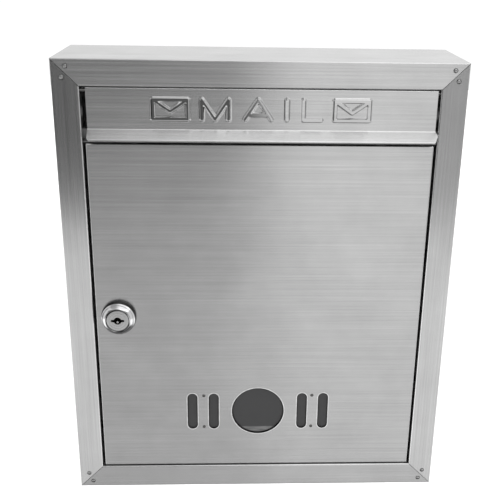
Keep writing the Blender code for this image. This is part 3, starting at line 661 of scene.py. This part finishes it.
def painted_light_on_pane(tree, place, smoke):
    """Paints a reflection low in the round window, and shade just inside each opening."""
    split = tree.nodes.new("ShaderNodeSeparateXYZ")
    link(tree, place, split.inputs[0])
    x, _, z = split.outputs
    side = calc(tree, "ABSOLUTE", x)
    # A painted reflection: a paler band across the low part of the round window, broken up by noise.
    edge = WINDOW_Z - WINDOW_R + REFLECTION_BAND_TALL
    low = spread(tree, z, edge + 0.3 * MM, edge - 0.3 * MM)
    inner = spread(tree, side, REFLECTION_BAND_HALF_WIDE + 0.5 * MM, REFLECTION_BAND_HALF_WIDE - 0.5 * MM)
    unrest = spread(tree, noise_in(tree, place, (120, 1, 900)), 0.1, 0.6)
    amount = calc(tree, "MULTIPLY", calc(tree, "MULTIPLY", low, inner), unrest)
    with_painted_reflection = blend(tree, amount, smoke, PAINTED_REFLECTION_TONE)

    # The sheet shades a narrow line of the pane just inside each opening.
    up = calc(tree, "SUBTRACT", z, WINDOW_Z)
    squares = calc(tree, "ADD", calc(tree, "MULTIPLY", x, x), calc(tree, "MULTIPLY", up, up))
    from_middle = calc(tree, "SQRT", squares)
    round_edge = spread(tree, from_middle, WINDOW_R - 1.3 * MM, WINDOW_R - 0.6 * MM)
    pair = (SLOT_PLACES[3] + SLOT_PLACES[2]) / 2
    apart = (SLOT_PLACES[3] - SLOT_PLACES[2]) / 2
    from_pair = calc(tree, "ABSOLUTE", calc(tree, "SUBTRACT", side, pair))
    from_slot = calc(tree, "ABSOLUTE", calc(tree, "SUBTRACT", from_pair, apart))
    slot_edge = spread(tree, from_slot, SLOT_WIDE / 2 - 1.0 * MM, SLOT_WIDE / 2 - 0.4 * MM)
    among_slots = spread(tree, side, 22 * MM, 24 * MM)
    slot_edge = calc(tree, "MULTIPLY", slot_edge, among_slots)
    round_edge = calc(tree, "MULTIPLY", round_edge, calc(tree, "SUBTRACT", 1, among_slots))
    edges = calc(tree, "MULTIPLY", calc(tree, "ADD", slot_edge, round_edge), 0.9)
    return blend(tree, edges, with_painted_reflection, PAINTED_EDGE_SHADE_TONE)


# %% Smoked acrylic
def smoked_acrylic():
    pane, tree, shader, place = new_finish("smoked_pane", metallic=0)
    haze = noise_in(tree, place, 70, 4)
    ramp = tree.nodes.new("ShaderNodeValToRGB")
    ramp.color_ramp.elements[0].color = (0.040, 0.040, 0.041, 1)
    ramp.color_ramp.elements[1].color = (0.050, 0.050, 0.051, 1)
    link(tree, haze, ramp.inputs["Fac"])
    link(tree, painted_light_on_pane(tree, place, ramp.outputs["Color"]), shader.inputs["Base Color"])
    link(tree, spread(tree, haze, 0, 1, 0.16, 0.30), shader.inputs["Roughness"])
    shader.inputs["IOR"].default_value = 1.49
    shader.inputs["Specular IOR Level"].default_value = 0.35
    return pane


PANE = smoked_acrylic()


# %% The pane and its rivets
def rounded_box(low, high, radius, steps=6):
    """A rectangle in X and Z with round corners."""
    points = []
    corners = ((high.x - radius, high.z - radius, 0), (low.x + radius, high.z - radius, 1),
               (low.x + radius, low.z + radius, 2), (high.x - radius, low.z + radius, 3))
    for x, z, quarter in corners:
        for i in range(steps + 1):
            a = (quarter + i / steps) * math.pi / 2
            points.append((x + radius * math.cos(a), z + radius * math.sin(a)))
    return points


def make_plate(outline, holes, front, thickness):
    """A flat plate between two depths."""
    bm = bmesh.new()
    filled(bm, outline, holes)
    bmesh.ops.recalc_face_normals(bm, faces=bm.faces)
    orient(bm, Vector((0, -1, 0)))
    bmesh.ops.translate(bm, vec=(0, front, 0), verts=bm.verts)
    thicken(bm, thickness)
    return bm


def make_pane():
    holes = [ring(centre_of(n).x, centre_of(n).z, 1.1 * MM, 16) for n in PANE_RIVETS]
    outline = rounded_box(pane_low, pane_high, 3 * MM)
    bm = make_plate(outline, holes, pane_low.y, pane_high.y - pane_low.y)
    soften_rims(bm, 0.2 * MM)
    finish_piece("smoked_window", bm, "door", PANE, ["window_pane"])


make_pane()
for node in PANE_RIVETS:
    make_rivet(f"{node}_head", node, "door", 0.85, 0.15, DARK_STEEL)

# %% [markdown]
# ## The flap and its raised sign
#
# The sign is pressed from behind into thin sheet, so its strokes are soft ridges and the back shows
# the same word as hollows. That is a change of height in one sheet, not letters laid on top. So the
# flap is a fine grid: its rows follow the fold at the top, the flat, the flared finger lip and the
# lip's rolled edge, and each point near a stroke is lifted by how close it is to the stroke's middle
# line. The same distance marks where the die has stretched the sheet, for the finish to read.

# %% Where the flap's rows and columns lie
flap_low, flap_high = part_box("flap_panel")
FLAP_FACE = 1.0 * MM
FLAP_FOLD = 5.5 * MM
BEND_Z, LIP_FLAT, LIP_ANGLE = 107.9 * MM, 8.15 * MM, math.radians(53.5)
LIP_ROLL_R, LIP_ROLL_END = 1.0 * MM, math.radians(-80)
LIP_LENGTH = LIP_FLAT + LIP_ROLL_R * (LIP_ANGLE - LIP_ROLL_END)
LIP_CORNER = 4.5 * MM
SIGN_Z, SIGN_TALL, SIGN_UP, STROKE = 120.4 * MM, 14.4 * MM, 1.1 * MM, 2.5 * MM
FINE = 0.32 * MM
SIGN_HALF = 68.4 * MM
LIP_CORNER_REACH = 6 * MM


def steps_between(start, end, size):
    count = max(1, round(abs(end - start) / size))
    return [start + (end - start) * i / count for i in range(count)]


def flap_columns():
    """Fine over the sign and at the round corners of the lip, wide between."""
    left, right, corner = flap_low.x, flap_high.x, LIP_CORNER_REACH
    columns = steps_between(left, left + corner, FINE)
    columns += steps_between(left + corner, -SIGN_HALF, 6 * MM)
    columns += steps_between(-SIGN_HALF, SIGN_HALF, FINE)
    columns += steps_between(SIGN_HALF, right - corner, 6 * MM)
    return columns + steps_between(right - corner, right, FINE) + [right]


def flap_rows():
    """(depth, z, distance along the lip) from the folded top edge to the lip's free edge."""
    top = flap_high.z
    rows = [(FLAP_FACE + FLAP_FOLD, top, 0), (FLAP_FACE, top, 0)]
    band = SIGN_TALL / 2 + 1.4 * MM
    levels = [top - 2.6 * MM] + steps_between(SIGN_Z + band, SIGN_Z - band, FINE)
    levels += [SIGN_Z - band, BEND_Z + 2.5 * MM, BEND_Z]
    rows += [(FLAP_FACE, z, 0) for z in levels]
    for s in [2.2 * MM, 3.4 * MM] + steps_between(LIP_FLAT - 3.2 * MM, LIP_FLAT, FINE):
        rows.append((FLAP_FACE - s * math.sin(LIP_ANGLE), BEND_Z - s * math.cos(LIP_ANGLE), s))
    # The free edge is rolled under, so it turns from the lip's slope round to face the door.
    out, down = LIP_FLAT * math.sin(LIP_ANGLE), LIP_FLAT * math.cos(LIP_ANGLE)
    turns = steps_between(LIP_ANGLE, LIP_ROLL_END, math.radians(12)) + [LIP_ROLL_END]
    for a in turns:
        rolled_out = LIP_ROLL_R * (math.cos(a) - math.cos(LIP_ANGLE))
        rolled_down = LIP_ROLL_R * (math.sin(LIP_ANGLE) - math.sin(a))
        s = LIP_FLAT + LIP_ROLL_R * (LIP_ANGLE - a)
        rows.append((FLAP_FACE - out - rolled_out, BEND_Z - down - rolled_down, s))
    return rows


# %% The strokes of the sign, as middle lines
def sign_strokes():
    """A plain word for mail in block strokes, with an envelope at each end."""
    top, low = SIGN_TALL / 2, -SIGN_TALL / 2
    half = STROKE / 2
    upper, lower = top - half, low + half
    strokes = []

    def line(x1, z1, x2, z2):
        strokes.append((Vector((x1, z1)), Vector((x2, z2))))

    m_left, m_right = -36 * MM, -20 * MM
    for x in (m_left, m_right):
        line(x, lower, x, upper)
        line(x, upper, (m_left + m_right) / 2, lower)
    a_left, a_right = -10 * MM, 6 * MM
    for x in (a_left, a_right):
        line(x, lower, (a_left + a_right) / 2, upper)
    bar = low + SIGN_TALL * 0.3
    line(a_left + STROKE, bar, a_right - STROKE, bar)
    line(15.5 * MM, lower, 15.5 * MM, upper)
    line(25.5 * MM, lower, 25.5 * MM, upper)
    line(25.5 * MM, lower, 36 * MM, lower)
    for middle in (-55 * MM, 55 * MM):
        left, right = middle - 10.5 * MM, middle + 10.5 * MM
        for z in (upper, lower):
            line(left, z, right, z)
        for x in (left, right):
            line(x, lower, x, upper)
            line(x, upper, middle, -half)
    return strokes


STROKES = sign_strokes()


def rise(x, z):
    """How far the sheet is pressed out at a point, and how much the die has stretched it there."""
    point = Vector((x, z - SIGN_Z))
    if abs(point.y) > SIGN_TALL / 2 + MM or abs(point.x) > SIGN_HALF + 0.6 * MM:
        return 0, 0
    nearest = 1
    for start, end in STROKES:
        span = end - start
        t = min(1, max(0, (point - start).dot(span) / span.length_squared))
        nearest = min(nearest, (point - start - span * t).length)
    crest, foot = STROKE / 2 - 0.35 * MM, STROKE / 2 + 0.30 * MM
    t = min(1, max(0, (foot - nearest) / (foot - crest)))
    stretched = min(1, max(0, (foot + 0.5 * MM - nearest) / (0.5 * MM)))
    return SIGN_UP * t * t * (3 - 2 * t), stretched


# %% The flap
def lip_end(x, s):
    """Moves a column inwards where the lip's corners are round, and out at its right-hand point."""
    reach = LIP_CORNER_REACH
    for end, sign in ((flap_low.x, 1), (flap_high.x, -1)):
        gone = (x - end) * sign
        if gone > reach:
            continue
        over = max(0, s - (LIP_LENGTH - LIP_CORNER))
        cut = LIP_CORNER - math.sqrt(max(0, LIP_CORNER ** 2 - over ** 2))
        if sign < 0:
            cut -= 1.1 * MM * math.sin(math.pi * min(1, s / (6.4 * MM)))
        return end + sign * (cut + gone * (reach - cut) / reach)
    return x


def make_flap():
    columns, rows = flap_columns(), flap_rows()
    bm = bmesh.new()
    bmesh.ops.create_grid(bm, x_segments=len(columns) - 1, y_segments=len(rows) - 1, size=1)
    pressed = bm.verts.layers.float.new("pressed")
    bm.verts.ensure_lookup_table()
    for index, vert in enumerate(bm.verts):
        depth, z, s = rows[index // len(columns)]
        x = lip_end(columns[index % len(columns)], s)
        lift, stretched = rise(x, z) if s == 0 and depth == FLAP_FACE else (0, 0)
        vert.co = (x, FRONT + depth - lift, z)
        vert[pressed] = stretched
    bmesh.ops.recalc_face_normals(bm, faces=bm.faces)
    orient(bm, Vector((0, -1, 0)))

    def row_edges(depth, z):
        place = Vector((0, FRONT + depth, z))
        return [e for e in bm.edges if all((v.co - place).yz.length < 1e-6 for v in e.verts)]

    fold(bm, row_edges(FLAP_FACE, flap_high.z))
    fold(bm, row_edges(FLAP_FACE, BEND_Z), radius=0.5 * MM, steps=4)
    bmesh.ops.solidify(bm, geom=bm.faces[:], thickness=SHEET)
    soften_rims(bm, 0.14 * MM, 2)

    ear_depth = 6 * MM
    for x in (flap_low.x + 0.2 * MM, flap_high.x - 0.2 * MM - SHEET):
        add_ear(bm, x, ear_depth)
    bmesh.ops.recalc_face_normals(bm, faces=bm.faces)
    grain_uv(bm, "X")
    finish_piece("flap_sheet", bm, "flap", FLAP_STEEL, ["flap_panel"])


def add_ear(bm, x, deep):
    """A tab with the rod's hole, turned back from one end of the flap."""
    rod_low, rod_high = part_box("flap_rod")
    rod = (rod_low + rod_high) / 2
    front, back = FRONT + FLAP_FACE + SHEET * 0.5, FRONT + FLAP_FACE + deep
    low, high = BEND_Z + 2.4 * MM, flap_high.z - SHEET * 0.9
    tab = bmesh.new()
    corner = 1.5 * MM
    outline = [(front, low), (back - corner, low)]
    outline += [(back - corner + corner * math.sin(a), low + corner - corner * math.cos(a))
                for a in [i * math.pi / 12 for i in range(1, 7)]]
    outline += [(back, high), (front, high)]
    filled(tab, outline, [ring(rod.y, rod.z, 1.2 * MM, 20)])
    bmesh.ops.solidify(tab, geom=tab.faces[:], thickness=SHEET)
    # The tab was drawn with Y along X, so it is turned to stand across the flap's end.
    for vert in tab.verts:
        vert.co = (x + SHEET / 2 + vert.co.y, vert.co.x, vert.co.z)
    sides = [v.co.x for v in tab.verts]
    bmesh.ops.translate(tab, vec=(x - min(sides), 0, 0), verts=tab.verts)
    mesh = bpy.data.meshes.new("ear")
    tab.to_mesh(mesh)
    tab.free()
    bm.from_mesh(mesh)
    bpy.data.meshes.remove(mesh)


make_flap()

# %% [markdown]
# ## The cam lock
#
# The housing is turned and chrome plated: a broad chamfer catches the light all round, its side is
# painted near black as shade, and a dark groove parts it from the plug. The plug is satin, with fine
# rings from the lathe. Behind the door the barrel is threaded, and flats on its sides stop it from
# turning in the sheet.

# %% Chrome, and the plug's lathe rings
CHROME = mottled_metal("lock_chrome", 0.64, (0.99, 0.99, 1.0), 0.15, patch=90, bump_depth=0.00001)
# Painted shade: the bezel's side wall is painted near black.
BEZEL_SIDE_PAINTED_SHADE = mottled_metal("bezel_side_painted_shade", 0.045, (1.0, 1.0, 1.0), 0.35, patch=600)


def lathe_rings(name, tone, roughness):
    """Satin metal with fine rings about the lock's own axis."""
    satin, tree, shader, place = new_finish(name)
    centred = tree.nodes.new("ShaderNodeMapping")
    centred.inputs["Location"].default_value = (-lock_centre.x, 0, -lock_centre.z)
    link(tree, place, centred.inputs["Vector"])
    flat = tree.nodes.new("ShaderNodeVectorMath")
    flat.operation = "MULTIPLY"
    flat.inputs[1].default_value = (1, 0, 1)
    link(tree, centred.outputs["Vector"], flat.inputs[0])
    radius = tree.nodes.new("ShaderNodeVectorMath")
    radius.operation = "LENGTH"
    link(tree, flat.outputs["Vector"], radius.inputs[0])
    texture = tree.nodes.new("ShaderNodeTexNoise")
    texture.noise_dimensions = "1D"
    texture.inputs["Scale"].default_value = 3200
    texture.inputs["Detail"].default_value = 2
    link(tree, radius.outputs["Value"], texture.inputs["W"])
    rings = texture.outputs["Fac"]
    shade = spread(tree, rings, 0, 1, tone * 0.8, tone * 1.2)
    link(tree, grey(tree, shade), shader.inputs["Base Color"])
    gloss = spread(tree, rings, 0, 1, roughness * 0.75, roughness * 1.25)
    link(tree, gloss, shader.inputs["Roughness"])
    add_bump(tree, shader, rings, 0.5, 0.00003)
    return satin


def turned_in_lock(profile, steps, closed=False):
    return turned_mesh(profile, lock_centre.x, lock_centre.z, steps, closed)


def flatten_sides(bm, reach, is_flat):
    """Mills two flats: what is further out than they are, is moved in to them."""
    for vert in bm.verts:
        sideways = vert.co.x - lock_centre.x
        if is_flat(vert.co) and abs(sideways) > reach * MM:
            vert.co.x = lock_centre.x + math.copysign(reach * MM, sideways)


PLUG_SATIN = lathe_rings("plug_satin", 0.55, 0.26)
# Painted shade: the inside of the keyway is painted dark.
KEYWAY_PAINTED_SHADE = mottled_metal("keyway_painted_shade", 0.10, (1.0, 0.96, 0.9), 0.4, patch=900)

# %% The housing: bezel, thread and flats
BORE_R, BARREL_R, BARREL_FLAT, BARREL_BACK = 7.65, 9.0, 8.0, 15.0
DOOR_FACE = (door_low.y - FRONT) / MM


def make_housing():
    # Radius, and height in front of the door's face, from the bore outwards and back.
    bezel = [
        (BORE_R, 5.5), (7.7, 6.0), (7.85, 6.28), (8.1, 6.4), (8.4, 6.32), (8.9, 5.98), (9.4, 5.5),
        (9.85, 4.95), (10.2, 4.4), (10.42, 3.95), (10.7, 3.7), (11.0, 3.4), (11.15, 3.0), (11.25, 2.4),
        (11.35, 1.6), (11.45, 0.7), (11.45, 0.3),
    ]
    profile = [(r, DOOR_FACE - h) for r, h in bezel]
    profile.append((BARREL_R, DOOR_FACE - 0.3))
    depth = DOOR_FACE + 0.9
    while depth < BARREL_BACK - 1.2:
        profile += [(BARREL_R, depth), (BARREL_R, depth + 0.2), (BARREL_R - 0.45, depth + 0.6)]
        depth += 1.0
    profile += [(BARREL_R, depth), (BARREL_R - 0.4, BARREL_BACK), (BORE_R, BARREL_BACK)]
    bm = turned_in_lock(profile, 64, closed=True)
    flatten_sides(bm, BARREL_FLAT, lambda co: co.y > FRONT + (DOOR_FACE - 0.15) * MM)
    bmesh.ops.recalc_face_normals(bm, faces=bm.faces)
    # The bezel's side wall, up to 3.5 mm in front of the door, gets the painted shade.
    side_front, side_back = FRONT + (DOOR_FACE - 3.5) * MM, FRONT + (DOOR_FACE - 0.2) * MM
    for face in bm.faces:
        middle = face.calc_center_median()
        out = Vector((middle.x - lock_centre.x, middle.z - lock_centre.z)).length
        if side_front < middle.y < side_back and out > 10.85 * MM:
            face.material_index = 1
    piece = finish_piece(
        "lock_bezel", bm, "door", CHROME, ["lock_housing"], keep_flat=False
    )
    piece.data.materials.append(BEZEL_SIDE_PAINTED_SHADE)


make_housing()


# %% The plug and its keyway
def keyway_points():
    """A round middle with a tapered wing to each side."""
    wing, tip, root, hub = 4.3 * MM, 0.7 * MM, 0.9 * MM, 2.55 * MM
    start = math.asin(root / hub)
    points = []
    for side in (0, math.pi):
        sign = 1 if side == 0 else -1
        points += [(sign * wing, -sign * tip), (sign * wing, sign * tip)]
        for i in range(9):
            a = side + start + (math.pi - 2 * start) * i / 8
            points.append((hub * math.cos(a), hub * math.sin(a)))
    return [(lock_centre.x + x, lock_centre.z + z) for x, z in points]


def make_plug():
    plug_low, plug_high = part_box("lock_plug")
    front, tail_end = (plug_low.y - FRONT) / MM, (plug_high.y - FRONT) / MM
    back, tail_r, tail_flat, bore, bore_deep = 15.3, 4.2, 3.0, 2.0, 6.0
    face_r = 6.9
    profile = [(face_r, front), (7.15, front + 0.08), (7.27, front + 0.25), (7.3, front + 0.5)]
    profile.append((7.3, back))
    profile += [(tail_r, back), (tail_r, tail_end - 0.3), (tail_r - 0.3, tail_end), (bore, tail_end)]
    profile += [(bore, tail_end - bore_deep), (0, tail_end - bore_deep)]
    bm = turned_in_lock(profile, 64)

    def on_tail(co):
        outside = (co - Vector((lock_centre.x, co.y, lock_centre.z))).length > (bore + 0.1) * MM
        return outside and co.y > FRONT + (back + 0.1) * MM

    flatten_sides(bm, tail_flat, on_tail)
    rim = [e for e in bm.edges if len(e.link_faces) == 1]
    y = FRONT + front * MM
    verts = [bm.verts.new((x, y, z)) for x, z in keyway_points()]
    slot = [bm.edges.new(pair) for pair in zip(verts, verts[1:] + verts[:1])]
    bmesh.ops.triangle_fill(bm, edges=rim + slot, use_beauty=True)
    before = set(bm.faces)
    rear = draw_out(bm, slot, (0, 7 * MM, 0))
    bmesh.ops.holes_fill(bm, edges=rear)
    # The keyway's walls and floor get the painted shade.
    for face in set(bm.faces) - before:
        face.material_index = 1
    bmesh.ops.recalc_face_normals(bm, faces=bm.faces)
    piece = finish_piece("plug_with_keyway", bm, "lock_core", PLUG_SATIN, ["lock_plug"])
    piece.data.materials.append(KEYWAY_PAINTED_SHADE)


make_plug()


# %% The guide pin that stands in the keyway
def make_guide_pin():
    radius, top, floor = 0.85, DOOR_FACE - 5.7, DOOR_FACE + 0.6
    profile = [(0, top), (radius * 0.6, top + 0.08), (radius * 0.9, top + 0.25), (radius, top + 0.5)]
    profile += [(radius, floor), (0, floor)]
    x, z = lock_centre.x - 0.2 * MM, lock_centre.z - 1.45 * MM
    bm = turned_mesh(profile, x, z, steps=20)
    finish_piece("keyway_guide_pin", bm, "lock_core", CHROME, keep_flat=False)


make_guide_pin()


# %% Washer, nut, cam and cam screw
def make_washer():
    low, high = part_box("lock_washer")
    front, back = (low.y - FRONT) / MM, (high.y - FRONT) / MM
    outer, bore, soft = (high.x - low.x) / 2 / MM, BARREL_R + 0.3, 0.2
    profile = [(bore, front + soft), (bore + soft, front), (outer - soft, front), (outer, front + soft),
               (outer, back - soft), (outer - soft, back), (bore + soft, back), (bore, back - soft)]
    bm = turned_in_lock(profile, 48, closed=True)
    finish_piece("washer", bm, "door", ZINC, ["lock_washer"], keep_flat=False)


def make_nut():
    low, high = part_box("lock_nut")
    corner = 11.5 * MM / math.cos(math.pi / 6)
    hexagon = [(lock_centre.x + corner * math.cos(a), lock_centre.z + corner * math.sin(a))
               for a in [math.pi / 6 + i * math.pi / 3 for i in range(6)]]
    bore = ring(lock_centre.x, lock_centre.z, (BARREL_R + 0.3) * MM, 48)
    bm = make_plate(hexagon, [bore], low.y, high.y - low.y)
    soften_rims(bm, 0.5 * MM, 3)
    finish_piece("hexagon_nut", bm, "door", ZINC, ["lock_nut"])


def make_cam():
    low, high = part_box("lock_cam")
    thick, width = 1.6 * MM, (high.x - low.x) / 2
    outline = rounded_box(low, high, width * 0.98, 12)
    seat = [(lock_centre.x + max(-3.3 * MM, min(3.3 * MM, x - lock_centre.x)), z)
            for x, z in ring(lock_centre.x, lock_centre.z, 4.5 * MM, 40)]
    bm = bmesh.new()
    filled(bm, outline, [seat])
    bends = [lock_centre.z - 9.8 * MM, lock_centre.z - 14.5 * MM]
    for z in bends:
        bmesh.ops.bisect_plane(
            bm, geom=bm.verts[:] + bm.edges[:] + bm.faces[:], dist=1e-7,
            plane_co=(0, 0, z), plane_no=(0, 0, 1),
        )
    hub, arm = high.y - thick, low.y
    for vert in bm.verts:
        t = min(1, max(0, (bends[0] - vert.co.z) / (bends[0] - bends[1])))
        vert.co.y = hub + (arm - hub) * t
    bmesh.ops.recalc_face_normals(bm, faces=bm.faces)
    orient(bm, Vector((0, -1, 0)))
    creases = [e for e in bm.edges if len(e.link_faces) == 2 and e.calc_face_angle() > 0.4]
    fold(bm, creases, radius=0.7 * MM, steps=4)
    thicken(bm, thick)
    soften_rims(bm, 0.18 * MM)
    finish_piece("cranked_cam", bm, "lock_core", ZINC, ["lock_cam"])


def make_cam_screw():
    low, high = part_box("cam_screw")
    head_r, tall, under = 4.6, 2.2, (high.y - FRONT) / MM - 2.2
    end = (low.y - FRONT) / MM
    profile = [(0, end), (1.2, end), (1.6, end + 0.4), (1.6, under), (head_r - 0.2, under)]
    profile += [(head_r, under + 0.2), (head_r, under + tall * 0.5), (head_r * 0.93, under + tall * 0.75)]
    profile += [(head_r * 0.75, under + tall * 0.95), (head_r * 0.55, under + tall)]
    bm = turned_in_lock(profile, 48)
    # A cross for the driver, sunk into the head.
    rim = [e for e in bm.edges if len(e.link_faces) == 1]
    arm, half = 1.9 * MM, 0.42 * MM
    cross = []
    for quarter in range(4):
        a = quarter * math.pi / 2
        for x, z in ((half, half), (arm, half * 0.8), (arm, -half * 0.8)):
            turned_x = lock_centre.x + (x * math.cos(a) + z * math.sin(a))
            turned_z = lock_centre.z + (-x * math.sin(a) + z * math.cos(a))
            cross.append((turned_x, turned_z))
    verts = [bm.verts.new((x, high.y, z)) for x, z in cross]
    slot = [bm.edges.new(pair) for pair in zip(verts, verts[1:] + verts[:1])]
    bmesh.ops.triangle_fill(bm, edges=rim + slot, use_beauty=True)
    rear = draw_out(bm, slot, (0, -1.2 * MM, 0))
    tips = {v for e in rear for v in e.verts}
    bmesh.ops.scale(bm, vec=(0.45, 1, 0.45), verts=list(tips),
                    space=Matrix.Translation((-lock_centre.x, 0, -lock_centre.z)))
    bmesh.ops.holes_fill(bm, edges=rear)
    bmesh.ops.recalc_face_normals(bm, faces=bm.faces)
    finish_piece("cam_screw_head", bm, "lock_core", ZINC, ["cam_screw"])


make_washer()
make_nut()
make_cam()
make_cam_screw()

# %% [markdown]
# ## Parts whose working shape is already right
#
# Gussets, sill, stops, pins and the flap's rod are plain bent or turned parts inside the case. Their
# working shapes stay, and only their finishes are made better.


# %% Finishes for the parts that stay
def refinish(finish, *names):
    """Puts a finish on working parts, through their own material slots."""
    for name in names:
        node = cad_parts[name]
        for index in range(len(node.material_slots)):
            node.material_slots[index].material = finish
    print(f"{finish.name}: {len(names)} parts")


corners = [f"{row}_{column}" for row in ("top", "bottom") for column in ("left", "right")]
refinish(INNER_STEEL, *[f"gusset_{corner}" for corner in corners])
refinish(INNER_STEEL, "slot_sill", "door_stop_upper", "door_stop_lower")
refinish(DARK_STEEL, "door_pin_top", "door_pin_bottom", "flap_rod")

# %% [markdown]
# ## Light, floor and camera
#
# Bare metal shows its surroundings and nothing else, so the room matters as much as the steel. The
# room is a sky made of a few soft areas: bright above and behind, bright low down in front where a
# pale floor would be, and darker at the height of a person, most of all to the left. A strip light
# along the ceiling's front edge gives the sharp highlights on the pressed sign and on the folds.


# %% The soft studio
BACKDROP = 1.05


def studio():
    world = bpy.data.worlds.new("studio")
    bpy.context.scene.world = world
    world.use_nodes = True
    tree = world.node_tree
    tree.nodes.clear()
    out = tree.nodes.new("ShaderNodeOutputWorld")
    where = tree.nodes.new("ShaderNodeTexCoord")
    split = tree.nodes.new("ShaderNodeSeparateXYZ")
    link(tree, where.outputs["Generated"], split.inputs[0])

    def ramp(value, start, end, low, high):
        """A soft step of a value from one level to another."""
        return spread(tree, value, start, end, low, high, "SMOOTHERSTEP")

    def both(a, b):
        return calc(tree, "MULTIPLY", a, b)

    def brighter(a, b):
        return calc(tree, "MAXIMUM", a, b)

    def mix(amount, a, b):
        """Goes from a to b as the amount goes from 0 to 1."""
        kept = both(calc(tree, "SUBTRACT", 1, amount), a)
        return calc(tree, "ADD", kept, both(amount, b))

    x, y, z = split.outputs
    # In front, above knee height: dark, with one tall bright window to the right of the middle,
    # and more light at both far sides. The dark is softer at eye level than above or below it.
    window = both(ramp(x, 0.0, 0.06, 0, 1), ramp(x, 0.25, 0.34, 1, 0))
    beside = ramp(x, -0.74, -0.90, 0, 1)
    window = brighter(brighter(window, ramp(x, 0.55, 0.75, 0, 1)), beside)
    eye_level = both(ramp(z, -0.12, 0.05, 0, 1), ramp(z, 0.22, 0.36, 1, 0))
    dark = mix(eye_level, ramp(x, -0.30, -0.05, 0.0, 0.13), 0.34)
    upper = mix(window, dark, 0.90)
    # In front, low down: the pale floor, brightest at both far sides, and dark straight below.
    lower = mix(ramp(x, -0.06, 0.10, 0, 1), ramp(x, -0.45, -0.20, 1.0, 0.79), 0.90)
    lower = mix(ramp(x, -0.50, -0.68, 0, 1), lower, 1.9)
    lower = mix(ramp(x, 0.52, 0.70, 0, 1), lower, 1.6)
    lower = mix(ramp(z, -0.62, -0.84, 0, 1), lower, 0.06)
    front = mix(ramp(z, -0.27, -0.36, 0, 1), upper, lower)
    # Overhead: a soft ceiling, brighter to the right, and a strip light along its front edge.
    ceiling = ramp(x, -0.35, 0.16, 0.48, 1.36)
    front = mix(ramp(z, 0.52, 0.85, 0, 1), front, ceiling)
    strip_light = both(ramp(z, 0.42, 0.50, 0, 1), ramp(z, 0.66, 0.76, 1, 0))
    front = mix(strip_light, front, ramp(x, -0.35, 0.16, 0.9, 2.1))
    # Behind: an even pale wall.
    behind = ramp(z, -0.5, 0.1, 0.75, 1.05)
    light = mix(ramp(y, 0.05, 0.35, 0, 1), front, behind)

    chooser = tree.nodes.new("ShaderNodeMixShader")
    path = tree.nodes.new("ShaderNodeLightPath")
    link(tree, path.outputs["Is Camera Ray"], chooser.inputs["Fac"])
    # The room is what the steel reflects. Behind the object there is a plain white backdrop.
    for index, strength in ((1, light), (2, BACKDROP)):
        background = tree.nodes.new("ShaderNodeBackground")
        background.inputs["Color"].default_value = (1, 1, 1, 1)
        feed(tree, background.inputs["Strength"], strength)
        link(tree, background.outputs[0], chooser.inputs[index])
    link(tree, chooser.outputs[0], out.inputs["Surface"])


studio()


# %% The camera
def make_camera():
    """In front, a little to the left and above, looking down on the box."""
    data = bpy.data.cameras.new("camera")
    data.sensor_width = 36
    data.lens = 57.93
    data.shift_x, data.shift_y = -0.0467, -0.0328
    camera = bpy.data.objects.new("camera", data)
    camera.location = (-0.01364, -0.54647, 0.21590)
    camera.rotation_euler = Euler([math.radians(a) for a in (70.091, -1.020, -2.254)])
    bpy.context.scene.collection.objects.link(camera)
    bpy.context.scene.camera = camera


make_camera()
bpy.context.scene.view_settings.view_transform = "Standard"


# %% The floor
def make_floor():
    """A pale floor far below the box, which hangs on a wall. The steel doesn't mirror it."""
    bm = bmesh.new()
    bmesh.ops.create_grid(bm, x_segments=1, y_segments=1, size=6)
    bmesh.ops.translate(bm, vec=(0, 0, -0.9), verts=bm.verts)
    mesh = bpy.data.meshes.new("floor")
    bm.to_mesh(mesh)
    bm.free()
    floor = bpy.data.objects.new("floor", mesh)
    bpy.context.scene.collection.objects.link(floor)
    pale = bpy.data.materials.new("pale_floor")
    pale.use_nodes = True
    shader = pale.node_tree.nodes["Principled BSDF"]
    shader.inputs["Base Color"].default_value = (0.9, 0.9, 0.9, 1)
    shader.inputs["Roughness"].default_value = 0.9
    shader.inputs["Emission Color"].default_value = (1, 1, 1, 1)
    shader.inputs["Emission Strength"].default_value = 0.6
    mesh.materials.append(pale)
    floor.visible_glossy = False


make_floor()
